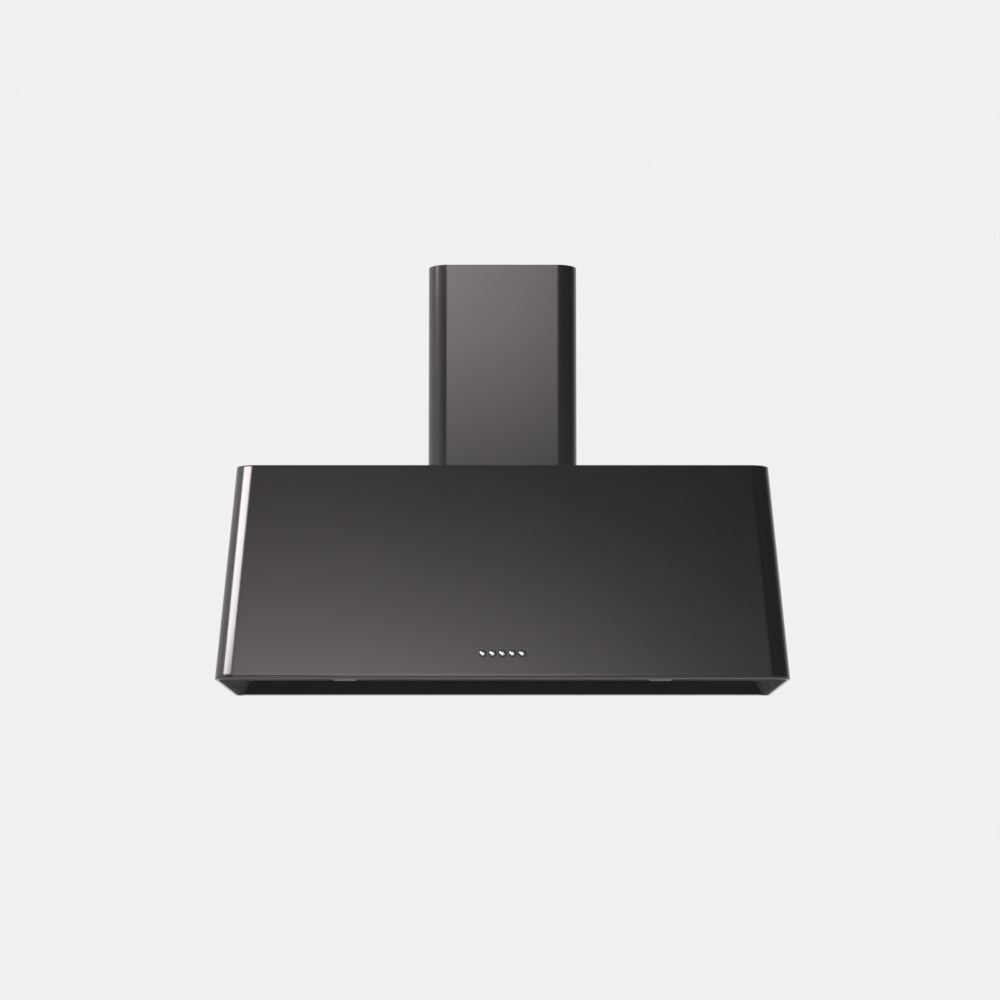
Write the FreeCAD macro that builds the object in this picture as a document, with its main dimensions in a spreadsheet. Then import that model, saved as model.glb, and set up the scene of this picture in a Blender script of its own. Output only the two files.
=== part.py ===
import FreeCAD, Part
import math
import os
import re

import Sketcher

# A wall-mounted chimney range hood, in millimetres.
# X runs to the right, Y into the wall and Z up. The origin lies on the wall plane, on the hood's
# centre line, level with the underside of its rim. The hood's front faces -Y.

SIZES = {
    # canopy: a tapered box of folded sheet
    "canopy_width": 1200,
    "canopy_depth": 500,
    "canopy_height": 474,
    "canopy_top_width": 1150,
    "canopy_top_depth": 320,
    "canopy_corner": 43,
    "lip_height": 7,
    "rim_flange": 20,
    "sheet": 1.2,
    "seat_gap": 0.3,
    "slot_gap": 1,
    "hole_gap": 0.2,
    # underside: light strip in front, hopper and filter neck behind it
    "light_strip": 75,
    "hopper_height": 60,
    "hopper_run": 48,
    "neck_height": 24,
    "liner_flange": 16,
    # lamps in the light strip
    "lamp_spread": 660,
    "lamp_radius": 20,
    "lamp_trim_radius": 24,
    "lamp_trim_thick": 0.9,
    "lamp_depth": 32,
    "lens_radius": 16,
    "lens_thick": 3,
    "lens_seat": 2,
    "lamp_dish": 4,
    "lamp_shoulder": 5,
    # baffle grease filters
    "filter_side_gap": 1.4,
    "filter_front_gap": 2,
    "filter_rear_gap": 3.5,
    "filter_spacing": 1.5,
    "filter_rise": 2,
    "filter_thick": 20,
    "filter_sheet": 1,
    "filter_header": 40,
    "filter_lip": 8,
    "baffle_pitch": 32,
    "baffle_width": 22,
    "baffle_flange": 10,
    "baffle_sheet": 0.8,
    "lug_spread": 200,
    "lug_width": 26,
    "lug_thick": 1.5,
    "lug_reach": 5,
    "lug_slot_half": 3.5,
    # spring latch of each filter
    "latch_travel": 6,
    "latch_bite": 3,
    "tongue_width": 24,
    "tongue_low": 2,
    "tongue_thick": 2.5,
    "tongue_tail": 28,
    "latch_gap": 0.5,
    "latch_stem_at": 14,
    "latch_stem_depth": 6,
    "latch_set_back": 6,
    "latch_edge": 1,
    "latch_handle_width": 60,
    "latch_handle_depth": 28,
    "latch_handle_thick": 3,
    "latch_finger_drop": 6,
    # push buttons on the front panel
    "button_pitch": 20.6,
    "button_height": 54,
    "button_radius": 6,
    "button_proud": 3.5,
    "button_edge": 1.3,
    "button_skirt": 6,
    "button_travel": 3,
    "button_gap": 0.4,
    "stem_radius": 2.5,
    "stem_length": 8,
    "bezel_wall": 0.8,
    "bezel_flange": 0.9,
    "bezel_proud": 1,
    "switch_depth": 25,
    "switch_width": 124,
    "switch_height": 26,
    "indicator_offset": 52.2,
    "indicator_drop": 5,
    "indicator_radius": 1.6,
    # chimney cover and the sleeve inside it
    "chimney_width": 322,
    "chimney_depth": 300,
    "chimney_height": 443,
    "chimney_corner": 43,
    "chimney_return": 12,
    "chimney_foot": 12,
    "sleeve_gap": 0.8,
    "sleeve_drop": 2,
    "bracket_drop": 50,
    "bracket_height": 34,
    "bracket_holes": 200,
    "bracket_sheet": 1.5,
    "bracket_gap": 1,
    # duct collar and its two backdraught flaps
    "collar_radius": 75,
    "collar_wall": 1.5,
    "collar_height": 45,
    "collar_flange": 20,
    "collar_behind": 150,
    "flap_gap": 0.7,
    "flap_thick": 1.2,
    "flap_pin_height": 22,
    "flap_pin_radius": 1.5,
    "flap_pin_clearance": 0.08,
    "pivot_boss_radius": 3.5,
    "pivot_boss_length": 7,
    "knuckle_radius": 3,
    "knuckle_length": 28,
    "knuckle_gap": 0.5,
    "stop_width": 5,
    # double-inlet centrifugal blower
    "blower_drop": 219,
    "scroll_start": 105,
    "scroll_step": 20,
    "scroll_shift_back": 5,
    "scroll_shift_down": 7,
    "scroll_half_width": 85,
    "scroll_wall": 2,
    "scroll_flange": 14,
    "inlet_radius": 72,
    "inlet_mouth": 6,
    "impeller_radius": 88,
    "impeller_half_width": 72,
    "blade_count": 36,
    "blade_chord": 16,
    "blade_camber": 12,
    "blade_thick": 1.2,
    "blade_sweep": 3,
    "blade_inset": 0.4,
    "hub_radius": 12,
    "hub_half_length": 12,
    "shaft_radius": 4,
    "shaft_clearance": 0.05,
    "motor_radius": 46,
    "motor_length": 78,
    "motor_reach": 112,
    "motor_edge": 8,
    "cradle_band": 12,
    "cradle_sheet": 2,
    "cradle_screw_circle": 90,
    "rubber_radius": 7,
    # wall fixing
    "hook_spread": 700,
    "hook_drop": 74,
    "hook_width": 40,
    "hook_plate": 3,
    "hook_shelf": 22,
    "hook_length": 64,
    "hook_lip": 8,
    "hook_hole_radius": 4,
    "hook_window_gap": 5,
    "level_screw_radius": 3,
    "level_nut_radius": 5.5,
    "level_nut_thick": 4,
    "fixing_spread": 640,
    "fixing_height": 130,
    "fixing_radius": 4,
    # electrical pieces
    "box_width": 150,
    "box_height": 110,
    "box_depth": 44,
    "box_wall": 2,
    "box_offset": 190,
    "box_level": 240,
    "board_thick": 1.6,
    "board_rise": 6,
    "board_margin": 3,
    "board_post_radius": 3,
    "gland_offset": 118,
    "gland_behind": 32,
    "gland_bore": 4.5,
    "gland_radius": 9,
    "gland_length": 28,
    "gland_shoulder": 2,
    "gland_nut_edge": 3,
    "gland_nut_thick": 4,
    "capacitor_radius": 17,
    "capacitor_length": 65,
    "capacitor_edge": 2,
    "capacitor_cap": 6,
    "clip_width": 14,
    "capacitor_offset": -240,
    "capacitor_level": 230,
    # small screws
    "screw_radius": 2,
    "screw_head_radius": 4,
    "screw_head_thick": 2,
    "screw_tail": 4,
}

doc = FreeCAD.newDocument("range_hood")
sheet = doc.addObject("Spreadsheet::Sheet", "sizes")
for row, (name, size) in enumerate(SIZES.items(), start=1):
    sheet.set(f"A{row}", name)
    sheet.set(f"B{row}", str(size))
    sheet.setAlias(f"B{row}", name)
doc.recompute()

Vector = FreeCAD.Vector


# ---------------------------------------------------------------- helpers

def sized(text):
    """The expression text with every size's name pointing at its cell."""
    return re.sub(r"[a-z]\w*", lambda m: f"sizes.{m[0]}" if m[0] in SIZES else m[0], f"{text}")


def value(owner, text):
    """The number that an expression of sizes gives now."""
    result = owner.evalExpression(sized(text))
    return float(getattr(result, "Value", result))


def piece(label, x="0", y="0", z="0", tilt="0"):
    """A new body at (x, y, z), turned about its X axis by tilt."""
    body = doc.addObject("PartDesign::Body", label)
    body.Label = label
    body.Placement = FreeCAD.Placement(Vector(), FreeCAD.Rotation(Vector(1, 0, 0), 1))
    body.setExpression("Placement.Rotation.Angle", sized(tilt))
    for axis, place in zip("xyz", (x, y, z)):
        body.setExpression(f"Placement.Base.{axis}", sized(place))
    return body


def origin_feature(body, role):
    """The body's own origin plane or axis of that role."""
    return next(f for f in body.Origin.OriginFeatures if f.Role == role)


def rectangle(x_low, x_high, y_low, y_high):
    """The loop of a rectangle."""
    return [(x_low, y_low), (x_high, y_low), (x_high, y_high), (x_low, y_high)]


def circle(x, y, radius):
    """The loop of a circle."""
    return ("circle", x, y, radius)


def arc_centre(start, end, radius, side):
    """The centre of an arc from start to end, on its left for side 1, on its right for side -1."""
    chord = end - start
    middle = (start + end) / 2
    across = Vector(-chord.y, chord.x, 0).normalize()
    reach = math.sqrt(max(radius ** 2 - (chord.Length / 2) ** 2, 0.0))
    return middle + across * reach * side


def add_circle(sketch, loop):
    """A circle held by its centre and radius."""
    x, y, radius = loop[1:]
    centre = Vector(value(sketch, x), value(sketch, y), 0)
    index = sketch.addGeometry(Part.Circle(centre, Vector(0, 0, 1), value(sketch, radius)), False)
    hold_point(sketch, index, 3, x, y)
    bind(sketch, Sketcher.Constraint("Radius", index, value(sketch, radius)), radius)


def bind(sketch, constraint, text):
    """Adds a constraint whose size comes from the sheet."""
    index = sketch.addConstraint(constraint)
    sketch.setExpression(f"Constraints[{index}]", sized(text))


def hold_point(sketch, geometry, end, x, y):
    """Holds one point of a curve at (x, y)."""
    for kind, place in (("DistanceX", x), ("DistanceY", y)):
        bind(sketch, Sketcher.Constraint(kind, -1, 1, geometry, end, value(sketch, place)), place)


def add_loop(sketch, loop):
    """A closed loop of steps. A step (x, y) is a straight run to that point, and a step
    (x, y, radius, side) an arc to it, with its centre on the left (1) or right (-1)."""
    points = [Vector(value(sketch, step[0]), value(sketch, step[1]), 0) for step in loop]
    edges = []
    for index, step in enumerate(loop):
        start, end = points[index - 1], points[index]
        if len(step) == 2:
            curve = Part.LineSegment(start, end)
        else:
            curve = loop_arc(start, end, value(sketch, step[2]), step[3])
        edges.append(sketch.addGeometry(curve, False))
    for index, step in enumerate(loop):
        begins, ends = ends_of(loop[index])
        after = loop[(index + 1) % len(loop)]
        sketch.addConstraint(Sketcher.Constraint(
            "Coincident", edges[index], ends, edges[(index + 1) % len(loop)], ends_of(after)[0]))
        hold_point(sketch, edges[index], ends, step[0], step[1])
        if len(step) > 2:
            radius = value(sketch, step[2])
            bind(sketch, Sketcher.Constraint("Radius", edges[index], radius), step[2])


def ends_of(step):
    """Which end of the sketch curve starts the step and which ends it: an arc runs anticlockwise."""
    return (2, 1) if len(step) > 2 and step[3] < 0 else (1, 2)


def loop_arc(start, end, radius, side):
    """An arc of a circle from start to end."""
    centre = arc_centre(start, end, radius, side)
    first, last = (start, end) if side > 0 else (end, start)
    from_angle = math.atan2(first.y - centre.y, first.x - centre.x)
    to_angle = math.atan2(last.y - centre.y, last.x - centre.x)
    if to_angle <= from_angle:
        to_angle += 2 * math.pi
    return Part.ArcOfCircle(Part.Circle(centre, Vector(0, 0, 1), radius), from_angle, to_angle)


def draw(body, plane, loops, lift="0", shift=("0", "0"), tilt=None):
    """A sketch of closed loops on the body's own origin plane, lifted along the plane's normal.
    XY looks down Z, XZ has X and Z as its axes and faces -Y, YZ has Y and Z and faces +X."""
    sketch = body.newObject("Sketcher::SketchObject", f"{body.Label}_sketch")
    sketch.AttachmentSupport = [(origin_feature(body, f"{plane}_Plane"), "")]
    sketch.MapMode = "FlatFace"
    if tilt:
        turn = FreeCAD.Rotation(Vector(1, 0, 0), 1)
        sketch.AttachmentOffset = FreeCAD.Placement(Vector(), turn)
        sketch.setExpression("AttachmentOffset.Rotation.Angle", sized(tilt))
    for axis, place in zip("xyz", (*shift, lift)):
        sketch.setExpression(f"AttachmentOffset.Base.{axis}", sized(place))
    for loop in loops:
        if loop[0] == "circle":
            add_circle(sketch, loop)
        else:
            add_loop(sketch, loop)
    return sketch


def feature(body, kind, sketch, backward=False, middle=False, length=None):
    """A sketched feature of the body, checked to have changed its volume."""
    before = body.Shape.Volume if body.Tip else 0.0
    made = body.newObject(f"PartDesign::{kind}", f"{body.Label}_{kind}")
    made.Profile = sketch
    if length is not None:
        made.setExpression("Length", sized(length))
        made.Reversed = backward
        if middle:
            made.SideType = "Symmetric"
    doc.recompute()
    changed = body.Shape.Volume - before
    if abs(changed) < 0.01:
        raise RuntimeError(f"{body.Label}: {kind} changed nothing")
    return made


def pad(body, sketch, length, backward=False, middle=False):
    """Adds the sketch's area, drawn out along the plane's normal."""
    return feature(body, "Pad", sketch, backward, middle, length)


def pocket(body, sketch, length, forward=True, middle=False):
    """Cuts the sketch's area out, along the plane's normal unless forward is False."""
    return feature(body, "Pocket", sketch, forward, middle, length)


def revolve(body, sketch, axis="V_Axis"):
    """Turns the sketch about its own vertical or horizontal axis."""
    before = body.Shape.Volume if body.Tip else 0.0
    made = body.newObject("PartDesign::Revolution", f"{body.Label}_Revolution")
    made.Profile = sketch
    made.ReferenceAxis = (sketch, [axis])
    made.Angle = 360
    doc.recompute()
    if body.Shape.Volume - before < 0.01:
        raise RuntimeError(f"{body.Label}: Revolution added nothing")
    return made


def loft(body, low, high, cut=False):
    """A straight-sided solid between two sketches, added or cut away."""
    before = body.Shape.Volume if body.Tip else 0.0
    kind = "SubtractiveLoft" if cut else "AdditiveLoft"
    made = body.newObject(f"PartDesign::{kind}", f"{body.Label}_{kind}")
    made.Profile = low
    made.Sections = [high]
    made.Ruled = True
    doc.recompute()
    if abs(body.Shape.Volume - before) < 0.01:
        raise RuntimeError(f"{body.Label}: {kind} changed nothing")
    return made


def repeat_round(body, made, axis, count):
    """Repeats a feature evenly about one of the body's axes."""
    pattern = body.newObject("PartDesign::PolarPattern", f"{body.Label}_ring")
    pattern.Originals = [made]
    pattern.Axis = (origin_feature(body, axis), [""])
    pattern.Angle = 360
    pattern.setExpression("Occurrences", sized(count))
    body.Tip = pattern
    doc.recompute()
    return pattern


def repeat_along(body, made, sketch, pitch, count):
    """Repeats a feature along its sketch's horizontal axis."""
    pattern = body.newObject("PartDesign::LinearPattern", f"{body.Label}_row")
    pattern.Originals = [made]
    pattern.Direction = (sketch, ["H_Axis"])
    pattern.setExpression("Length", sized(f"({pitch}) * (({count}) - 1)"))
    pattern.setExpression("Occurrences", sized(count))
    body.Tip = pattern
    doc.recompute()
    return pattern


def screws(label, places, seat, grip):
    """A group of like upright screws, with their heads on the level seat and their shanks below."""
    body = piece(label)
    heads = draw(body, "XY", [circle(x, y, "screw_head_radius") for x, y in places], seat)
    pad(body, heads, "screw_head_thick")
    shanks = draw(body, "XY", [circle(x, y, "screw_radius") for x, y in places], seat)
    pad(body, shanks, grip, backward=True)
    return body


def screw_holes(places):
    """Clearance holes for a group of screws."""
    return [circle(x, y, "screw_radius + hole_gap") for x, y in places]


# ---------------------------------------------------------------- places worked out from the sizes

TOP_LEVEL = "(canopy_height - sheet)"
SLOPE_RUN = "(canopy_depth - canopy_top_depth)"
SLOPE_RISE = "(canopy_height - sheet - lip_height)"
FRONT_LEAN = f"atan({SLOPE_RUN} / {SLOPE_RISE})"
PANEL_TILT = f"90 deg - {FRONT_LEAN}"
PANEL_Y = f"-canopy_depth + (button_height - lip_height) * {SLOPE_RUN} / {SLOPE_RISE}"
PANEL_INNER = f"(sheet * cos({FRONT_LEAN}))"

HOPPER_SIDE = "(canopy_width / 2 - rim_flange)"
HOPPER_FRONT = "(canopy_depth - light_strip)"
HOPPER_REAR = "rim_flange"
NECK_SIDE = f"({HOPPER_SIDE} - hopper_run)"
NECK_FRONT = f"({HOPPER_FRONT} - hopper_run)"
NECK_REAR = "(rim_flange + hopper_run)"
HOPPER_WALL = "(sheet * sqrt(hopper_height ^ 2 + hopper_run ^ 2) / hopper_height)"

FILTER_WIDTH = f"((2 * {NECK_SIDE} - 2 * filter_side_gap - 2 * filter_spacing) / 3)"
FILTER_DEPTH = f"({NECK_FRONT} - {NECK_REAR} - filter_front_gap - filter_rear_gap)"
FILTER_PITCH = f"({FILTER_WIDTH} + filter_spacing)"
FILTER_Y = f"(-{NECK_REAR} - filter_rear_gap - {FILTER_DEPTH} / 2)"
FILTER_LEVEL = "(hopper_height + filter_rise)"
FILTER_SIDES = (("left", -1), ("centre", 0), ("right", 1))
SIDES = (("left", -1), ("right", 1))

LAMP_Y = "(-(canopy_depth - (rim_flange + light_strip) / 2))"

BUTTON_COUNT = 5
BEZEL_BORE = "(button_radius + button_gap)"
BEZEL_OUTER = f"({BEZEL_BORE} + bezel_wall)"

COLLAR_Y = "(-collar_behind)"
SCROLL_THROAT = "(scroll_start + 3 * scroll_step)"
BLOWER_Y = f"(-collar_behind - {SCROLL_THROAT} / 2 + scroll_shift_back)"
FLAP_LEVEL = "(canopy_height + flap_pin_height)"

CHIMNEY_TOP = "(canopy_height + chimney_height)"
HOOK_LEVEL = "(canopy_height - hook_drop)"
BLOWER_LEVEL = "(canopy_height - blower_drop)"
CAPACITOR_Y = "(-sheet - capacitor_radius - cradle_sheet)"

# Left, right, low and high edges of the board's four relays, transformer and terminal row, as shares
# of the board's half width and height, then how far each stands up, as a share of the box's depth.
BOARD_PARTS = (
    (-0.86, -0.58, 0.15, 0.31, 0.34),
    (-0.51, -0.24, 0.15, 0.31, 0.34),
    (-0.17, 0.1, 0.15, 0.31, 0.34),
    (0.17, 0.44, 0.15, 0.31, 0.34),
    (-0.86, -0.31, 0.47, 0.85, 0.59),
    (-0.11, 0.88, 0.73, 0.87, 0.27),
)
CRADLE_TURNS = (90, 210, 330)


def chimney_screw_places():
    """Two screws in each side of the chimney cover's in-turned foot."""
    across = "(chimney_width / 2 - sheet - chimney_foot / 2)"
    return [
        (f"{side} * {across}", f"-{share} * chimney_depth")
        for side in (-1, 1) for share in (0.25, 0.75)
    ]


def collar_screw_places(middle=COLLAR_Y):
    """Four screws round the duct collar's flange, on the diagonals."""
    reach = "(collar_radius + collar_flange / 2) * sqrt(0.5)"
    return [(f"{side} * {reach}", f"{middle} + {end} * {reach}") for side in (-1, 1) for end in (-1, 1)]


def blower_screw_places(middle=COLLAR_Y, sides=(-1, 1)):
    """Two screws on each side of the blower's throat flange, at its corners."""
    across = "(scroll_half_width + scroll_flange / 2)"
    along = f"({SCROLL_THROAT} / 2 + scroll_wall + scroll_flange / 2)"
    return [(f"{side} * {across}", f"{middle} + {end} * {along}") for side in sides for end in (-1, 1)]


# ---------------------------------------------------------------- canopy

def canopy_outline(width, depth, inset="0", rear="0"):
    """The canopy's plan: straight sides, a straight front and two round front corners."""
    side = f"({width} / 2 - {inset})"
    front = f"({depth} - {inset})"
    radius = f"(canopy_corner - {inset})"
    return [
        (f"-{side}", rear),
        (f"-{side}", f"-({front} - {radius})"),
        (f"-({side} - {radius})", f"-{front}", radius, 1),
        (f"{side} - {radius}", f"-{front}"),
        (side, f"-({front} - {radius})", radius, 1),
        (side, rear),
    ]


def plan_edges(owner, width, depth, inset, rear, level):
    """The canopy's plan at one level, as straight edges and quarter arcs."""
    loop = canopy_outline(width, depth, inset, rear)
    height = Vector(0, 0, value(owner, level))
    points = [Vector(value(owner, step[0]), value(owner, step[1]), 0) for step in loop]
    edges = []
    for index, step in enumerate(loop):
        start, end = points[index - 1], points[index]
        curve = Part.LineSegment(start, end)
        if len(step) > 2:
            curve = loop_arc(start, end, value(owner, step[2]), step[3])
        curve.translate(height)
        edges.append(curve.toShape())
    return edges


def tapered_block(owner, inset, rear):
    """The canopy above its lip as a solid: flat front, sides and back, and ruled round corners."""
    low = plan_edges(owner, "canopy_width", "canopy_depth", inset, rear, "lip_height")
    high = plan_edges(owner, "canopy_top_width", "canopy_top_depth", inset, rear, TOP_LEVEL)
    faces = [Part.Face(Part.Wire(low)), Part.Face(Part.Wire(high))]
    for below, above in zip(low, high):
        if below.Curve.TypeId == "Part::GeomLine":
            corners = [
                below.valueAt(below.FirstParameter),
                below.valueAt(below.LastParameter),
                above.valueAt(above.LastParameter),
                above.valueAt(above.FirstParameter),
            ]
            faces.append(Part.Face(Part.makePolygon(corners + corners[:1])))
        else:
            faces.append(Part.makeRuledSurface(below, above))
    shell = Part.Shell(faces)
    shell.sewShape()
    block = Part.Solid(shell)
    if block.Volume < 0:
        block.reverse()
    return block


def upright_block(owner, inset, rear, low, height):
    """The canopy's plan drawn straight up from one level."""
    face = Part.Face(Part.Wire(plan_edges(owner, "canopy_width", "canopy_depth", inset, rear, low)))
    return face.extrude(Vector(0, 0, value(owner, height)))


def canopy_shell():
    """Front and sides in one sheet, with the upright lip and the in-turned rim flange. Its flat
    walls stay true planes, which a loft would not give, so that the button holes cut cleanly."""
    shell = doc.addObject("Part::Feature", "canopy_shell")
    shell.Label = "canopy_shell"
    shape = tapered_block(shell, "0", "0").fuse(upright_block(shell, "0", "0", "0", "lip_height"))
    shape = shape.cut(tapered_block(shell, "sheet", "sheet"))
    shape = shape.cut(upright_block(shell, "sheet", "sheet", "sheet", "lip_height - sheet"))
    shape = shape.cut(upright_block(shell, "rim_flange", "sheet", "0", "sheet"))
    tilt = FreeCAD.Rotation(Vector(1, 0, 0), value(shell, PANEL_TILT))
    panel = FreeCAD.Placement(Vector(0, value(shell, PANEL_Y), value(shell, "button_height")), tilt)
    holes = [(button_x(number), "0", f"{BEZEL_OUTER} + hole_gap") for number in range(BUTTON_COUNT)]
    holes.append(("indicator_offset", "-indicator_drop", "indicator_radius + hole_gap"))
    for x, y, radius in holes:
        depth = value(shell, "6 * sheet")
        centre = Vector(value(shell, x), value(shell, y), -depth / 2)
        hole = Part.makeCylinder(value(shell, radius), depth, centre)
        hole.Placement = panel.multiply(hole.Placement)
        shape = shape.cut(hole)
    shell.Shape = shape.removeSplitter()
    shell.Placement = FreeCAD.Placement()
    return shell


def canopy_top():
    """The flat top plate, with the duct hole, the screw holes and the gland hole."""
    body = piece("canopy_top", z=TOP_LEVEL)
    plate = draw(body, "XY", [canopy_outline("canopy_top_width", "canopy_top_depth")])
    pad(body, plate, "sheet")
    holes = [circle("0", COLLAR_Y, "collar_radius - collar_wall")]
    holes += screw_holes(chimney_screw_places() + collar_screw_places() + blower_screw_places())
    holes.append(circle("gland_offset", "-gland_behind", "gland_radius - gland_shoulder + hole_gap"))
    pocket(body, draw(body, "XY", holes), "sheet")
    return body


def hook_windows():
    """The two windows in the back panel that the wall hooks reach through."""
    windows = []
    for side in (-1, 1):
        left = f"({side} * hook_spread / 2 - hook_width / 2 - hook_window_gap)"
        right = f"({left} + hook_width + 2 * hook_window_gap)"
        windows.append(rectangle(left, right, f"{HOOK_LEVEL} - 2 * hook_width", f"{HOOK_LEVEL} + hook_width"))
    return windows


def canopy_back():
    """The back panel against the wall, with its bottom flange, hook windows and fixing holes."""
    body = piece("canopy_back")
    low_side = "(canopy_width / 2 - sheet - seat_gap)"
    high_side = "(canopy_top_width / 2 - sheet - seat_gap)"
    outline = [
        (f"-{low_side}", "sheet"),
        (low_side, "sheet"),
        (low_side, "lip_height"),
        (high_side, TOP_LEVEL),
        (f"-{high_side}", TOP_LEVEL),
        (f"-{low_side}", "lip_height"),
    ]
    pad(body, draw(body, "XZ", [outline]), "sheet")
    flange_side = f"({HOPPER_SIDE} - seat_gap)"
    flange = draw(body, "XY", [rectangle(f"-{flange_side}", flange_side, "-rim_flange", "0")])
    pad(body, flange, "sheet")
    holes = hook_windows()
    holes += [circle(f"{side} * fixing_spread / 2", "fixing_height", "fixing_radius") for side in (-1, 1)]
    pocket(body, draw(body, "XZ", holes), "sheet")
    return body


def underside_liner():
    """The recess under the filters: a flange on the rim, a four-sided hopper and an upright neck."""
    body = piece("underside_liner")
    outer = f"({HOPPER_SIDE} + liner_flange)"
    plate = rectangle(f"-{outer}", outer, f"-{HOPPER_FRONT}", f"-({HOPPER_REAR} - liner_flange)")
    pad(body, draw(body, "XY", [plate], "sheet"), "sheet")
    low = hopper_loop(HOPPER_SIDE, HOPPER_FRONT, HOPPER_REAR, HOPPER_WALL)
    high = hopper_loop(NECK_SIDE, NECK_FRONT, NECK_REAR, HOPPER_WALL)
    loft(body, draw(body, "XY", [low], "sheet"), draw(body, "XY", [high], "hopper_height"))
    neck = hopper_loop(NECK_SIDE, NECK_FRONT, NECK_REAR, "sheet")
    pad(body, draw(body, "XY", [neck], "hopper_height"), "neck_height")
    low = hopper_loop(HOPPER_SIDE, HOPPER_FRONT, HOPPER_REAR, "0")
    high = hopper_loop(NECK_SIDE, NECK_FRONT, NECK_REAR, "0")
    loft(body, draw(body, "XY", [low], "sheet"), draw(body, "XY", [high], "hopper_height"), cut=True)
    pocket(body, draw(body, "XY", [high], "hopper_height"), "neck_height")
    pocket(body, draw(body, "XZ", latch_slots(), f"{NECK_FRONT}"), "4 * sheet", middle=True)
    pocket(body, draw(body, "XZ", lug_slots(), f"{NECK_REAR}"), "4 * sheet", middle=True)
    return body


def hopper_loop(side, front, rear, wall):
    """One level of the hopper, with its wall's thickness outside the clear opening."""
    return rectangle(f"-({side} + {wall})", f"{side} + {wall}", f"-({front} + {wall})", f"-({rear} - {wall})")


def latch_slots():
    """One slot for each filter's latch tongue, in the front of the neck."""
    slots = []
    for _, place in FILTER_SIDES:
        middle = f"{place} * {FILTER_PITCH}"
        low = f"{FILTER_LEVEL} + tongue_low - seat_gap"
        half = "(tongue_width / 2 + slot_gap)"
        high = f"{low} + tongue_thick + 2 * slot_gap"
        slots.append(rectangle(f"{middle} - {half}", f"{middle} + {half}", low, high))
    return slots


def lug_slots():
    """Two slots for each filter's hinge lugs, in the rear of the neck."""
    slots = []
    for _, place in FILTER_SIDES:
        for end in (-1, 1):
            middle = f"({place} * {FILTER_PITCH} + {end} * lug_spread / 2)"
            half = "(lug_width / 2 + slot_gap)"
            low = f"({FILTER_LEVEL} + lug_thick / 2 - lug_slot_half)"
            high = f"({low} + 2 * lug_slot_half)"
            slots.append(rectangle(f"{middle} - {half}", f"{middle} + {half}", low, high))
    return slots


def light_panel():
    """The flat strip behind the front rim that carries the lamps, with a stiffening fold."""
    body = piece("light_panel", z="sheet")
    rear = f"-({HOPPER_FRONT} + {HOPPER_WALL})"
    inset = "(sheet + seat_gap)"
    outer = canopy_outline("canopy_width", "canopy_depth", inset, rear)
    pad(body, draw(body, "XY", [outer]), "lip_height - 2 * sheet")
    inner = canopy_outline("canopy_width", "canopy_depth", f"({inset} + sheet)", f"{rear} + sheet")
    pocket(body, draw(body, "XY", [inner], "sheet"), "lip_height")
    holes = [circle(f"{side} * lamp_spread / 2", LAMP_Y, "lamp_radius + seat_gap") for _, side in SIDES]
    pocket(body, draw(body, "XY", holes), "sheet")
    return body


def lamp(name, side):
    """A recessed lamp: a can with a thin trim under the strip, and a glass lens in its mouth."""
    place = (f"{side} * lamp_spread / 2", LAMP_Y, "sheet")
    housing = piece(f"lamp_housing_{name}", *place)
    profile = [
        ("lens_radius + seat_gap", "-lamp_trim_thick"),
        ("lamp_trim_radius", "-lamp_trim_thick"),
        ("lamp_trim_radius", "0"),
        ("lamp_radius", "0"),
        ("lamp_radius", "lamp_depth - lamp_shoulder"),
        ("lamp_radius - lamp_shoulder", "lamp_depth"),
        ("0", "lamp_depth"),
        ("0", "lens_thick + lamp_dish"),
        ("lens_radius - lens_seat", "lens_thick"),
        ("lens_radius + seat_gap", "lens_thick"),
    ]
    revolve(housing, draw(housing, "XZ", [profile]))
    lens = piece(f"lamp_lens_{name}", *place)
    glass = rectangle("0", "lens_radius", "-lamp_trim_thick + hole_gap", "lens_thick - seat_gap")
    revolve(lens, draw(lens, "XZ", [glass]))


# ---------------------------------------------------------------- grease filters

def filter_frame(name, side):
    """A folded frame: a deep header in front for the latch, and channels that hold the baffles."""
    body = piece(f"filter_frame_{name}", f"{side} * {FILTER_PITCH}", FILTER_Y, FILTER_LEVEL)
    half = f"({FILTER_WIDTH} / 2)"
    deep = f"({FILTER_DEPTH} / 2)"
    inside = f"({half} - filter_sheet)"
    pad(body, draw(body, "XY", [rectangle(f"-{half}", half, f"-{deep}", deep)]), "filter_thick")
    chamber = rectangle(f"-{inside}", inside, f"-{deep} + filter_header", f"{deep} - filter_sheet")
    header_end = f"-{deep} + filter_header"
    header = rectangle(f"-{inside}", inside, f"-{deep} + filter_sheet", f"{header_end} - filter_sheet")
    pocket(body, draw(body, "XY", [chamber, header], "filter_sheet"), "filter_thick - 2 * filter_sheet")
    rim = f"({half} - filter_lip)"
    window = rectangle(f"-{rim}", rim, f"{header_end} + filter_lip", f"{deep} - filter_lip")
    pocket(body, draw(body, "XY", [window]), "filter_thick")
    pocket(body, draw(body, "XY", [latch_slide(f"(-{deep})")]), "filter_sheet")
    reach = "(tongue_width / 2 + latch_gap)"
    mouth = rectangle(f"-{reach}", reach, "tongue_low - latch_gap", "tongue_low + tongue_thick + latch_gap")
    pocket(body, draw(body, "XZ", [mouth], deep), "3 * filter_sheet", middle=True)
    lugs = []
    for end in (-1, 1):
        left = f"({end} * lug_spread / 2 - lug_width / 2)"
        tip = f"{deep} + filter_rear_gap + sheet + lug_reach"
        lugs.append(rectangle(left, f"{left} + lug_width", f"{deep} - filter_sheet", tip))
    pad(body, draw(body, "XY", lugs), "lug_thick")
    return body


def latch_slide(front):
    """The slot in the frame's underside that the latch's stem runs along."""
    reach = "(tongue_width / 2 + latch_gap)"
    start = f"{front} + latch_stem_at - latch_gap"
    return rectangle(f"-{reach}", reach, start, f"{start} + latch_stem_depth + 2 * latch_gap + latch_travel")


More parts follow.
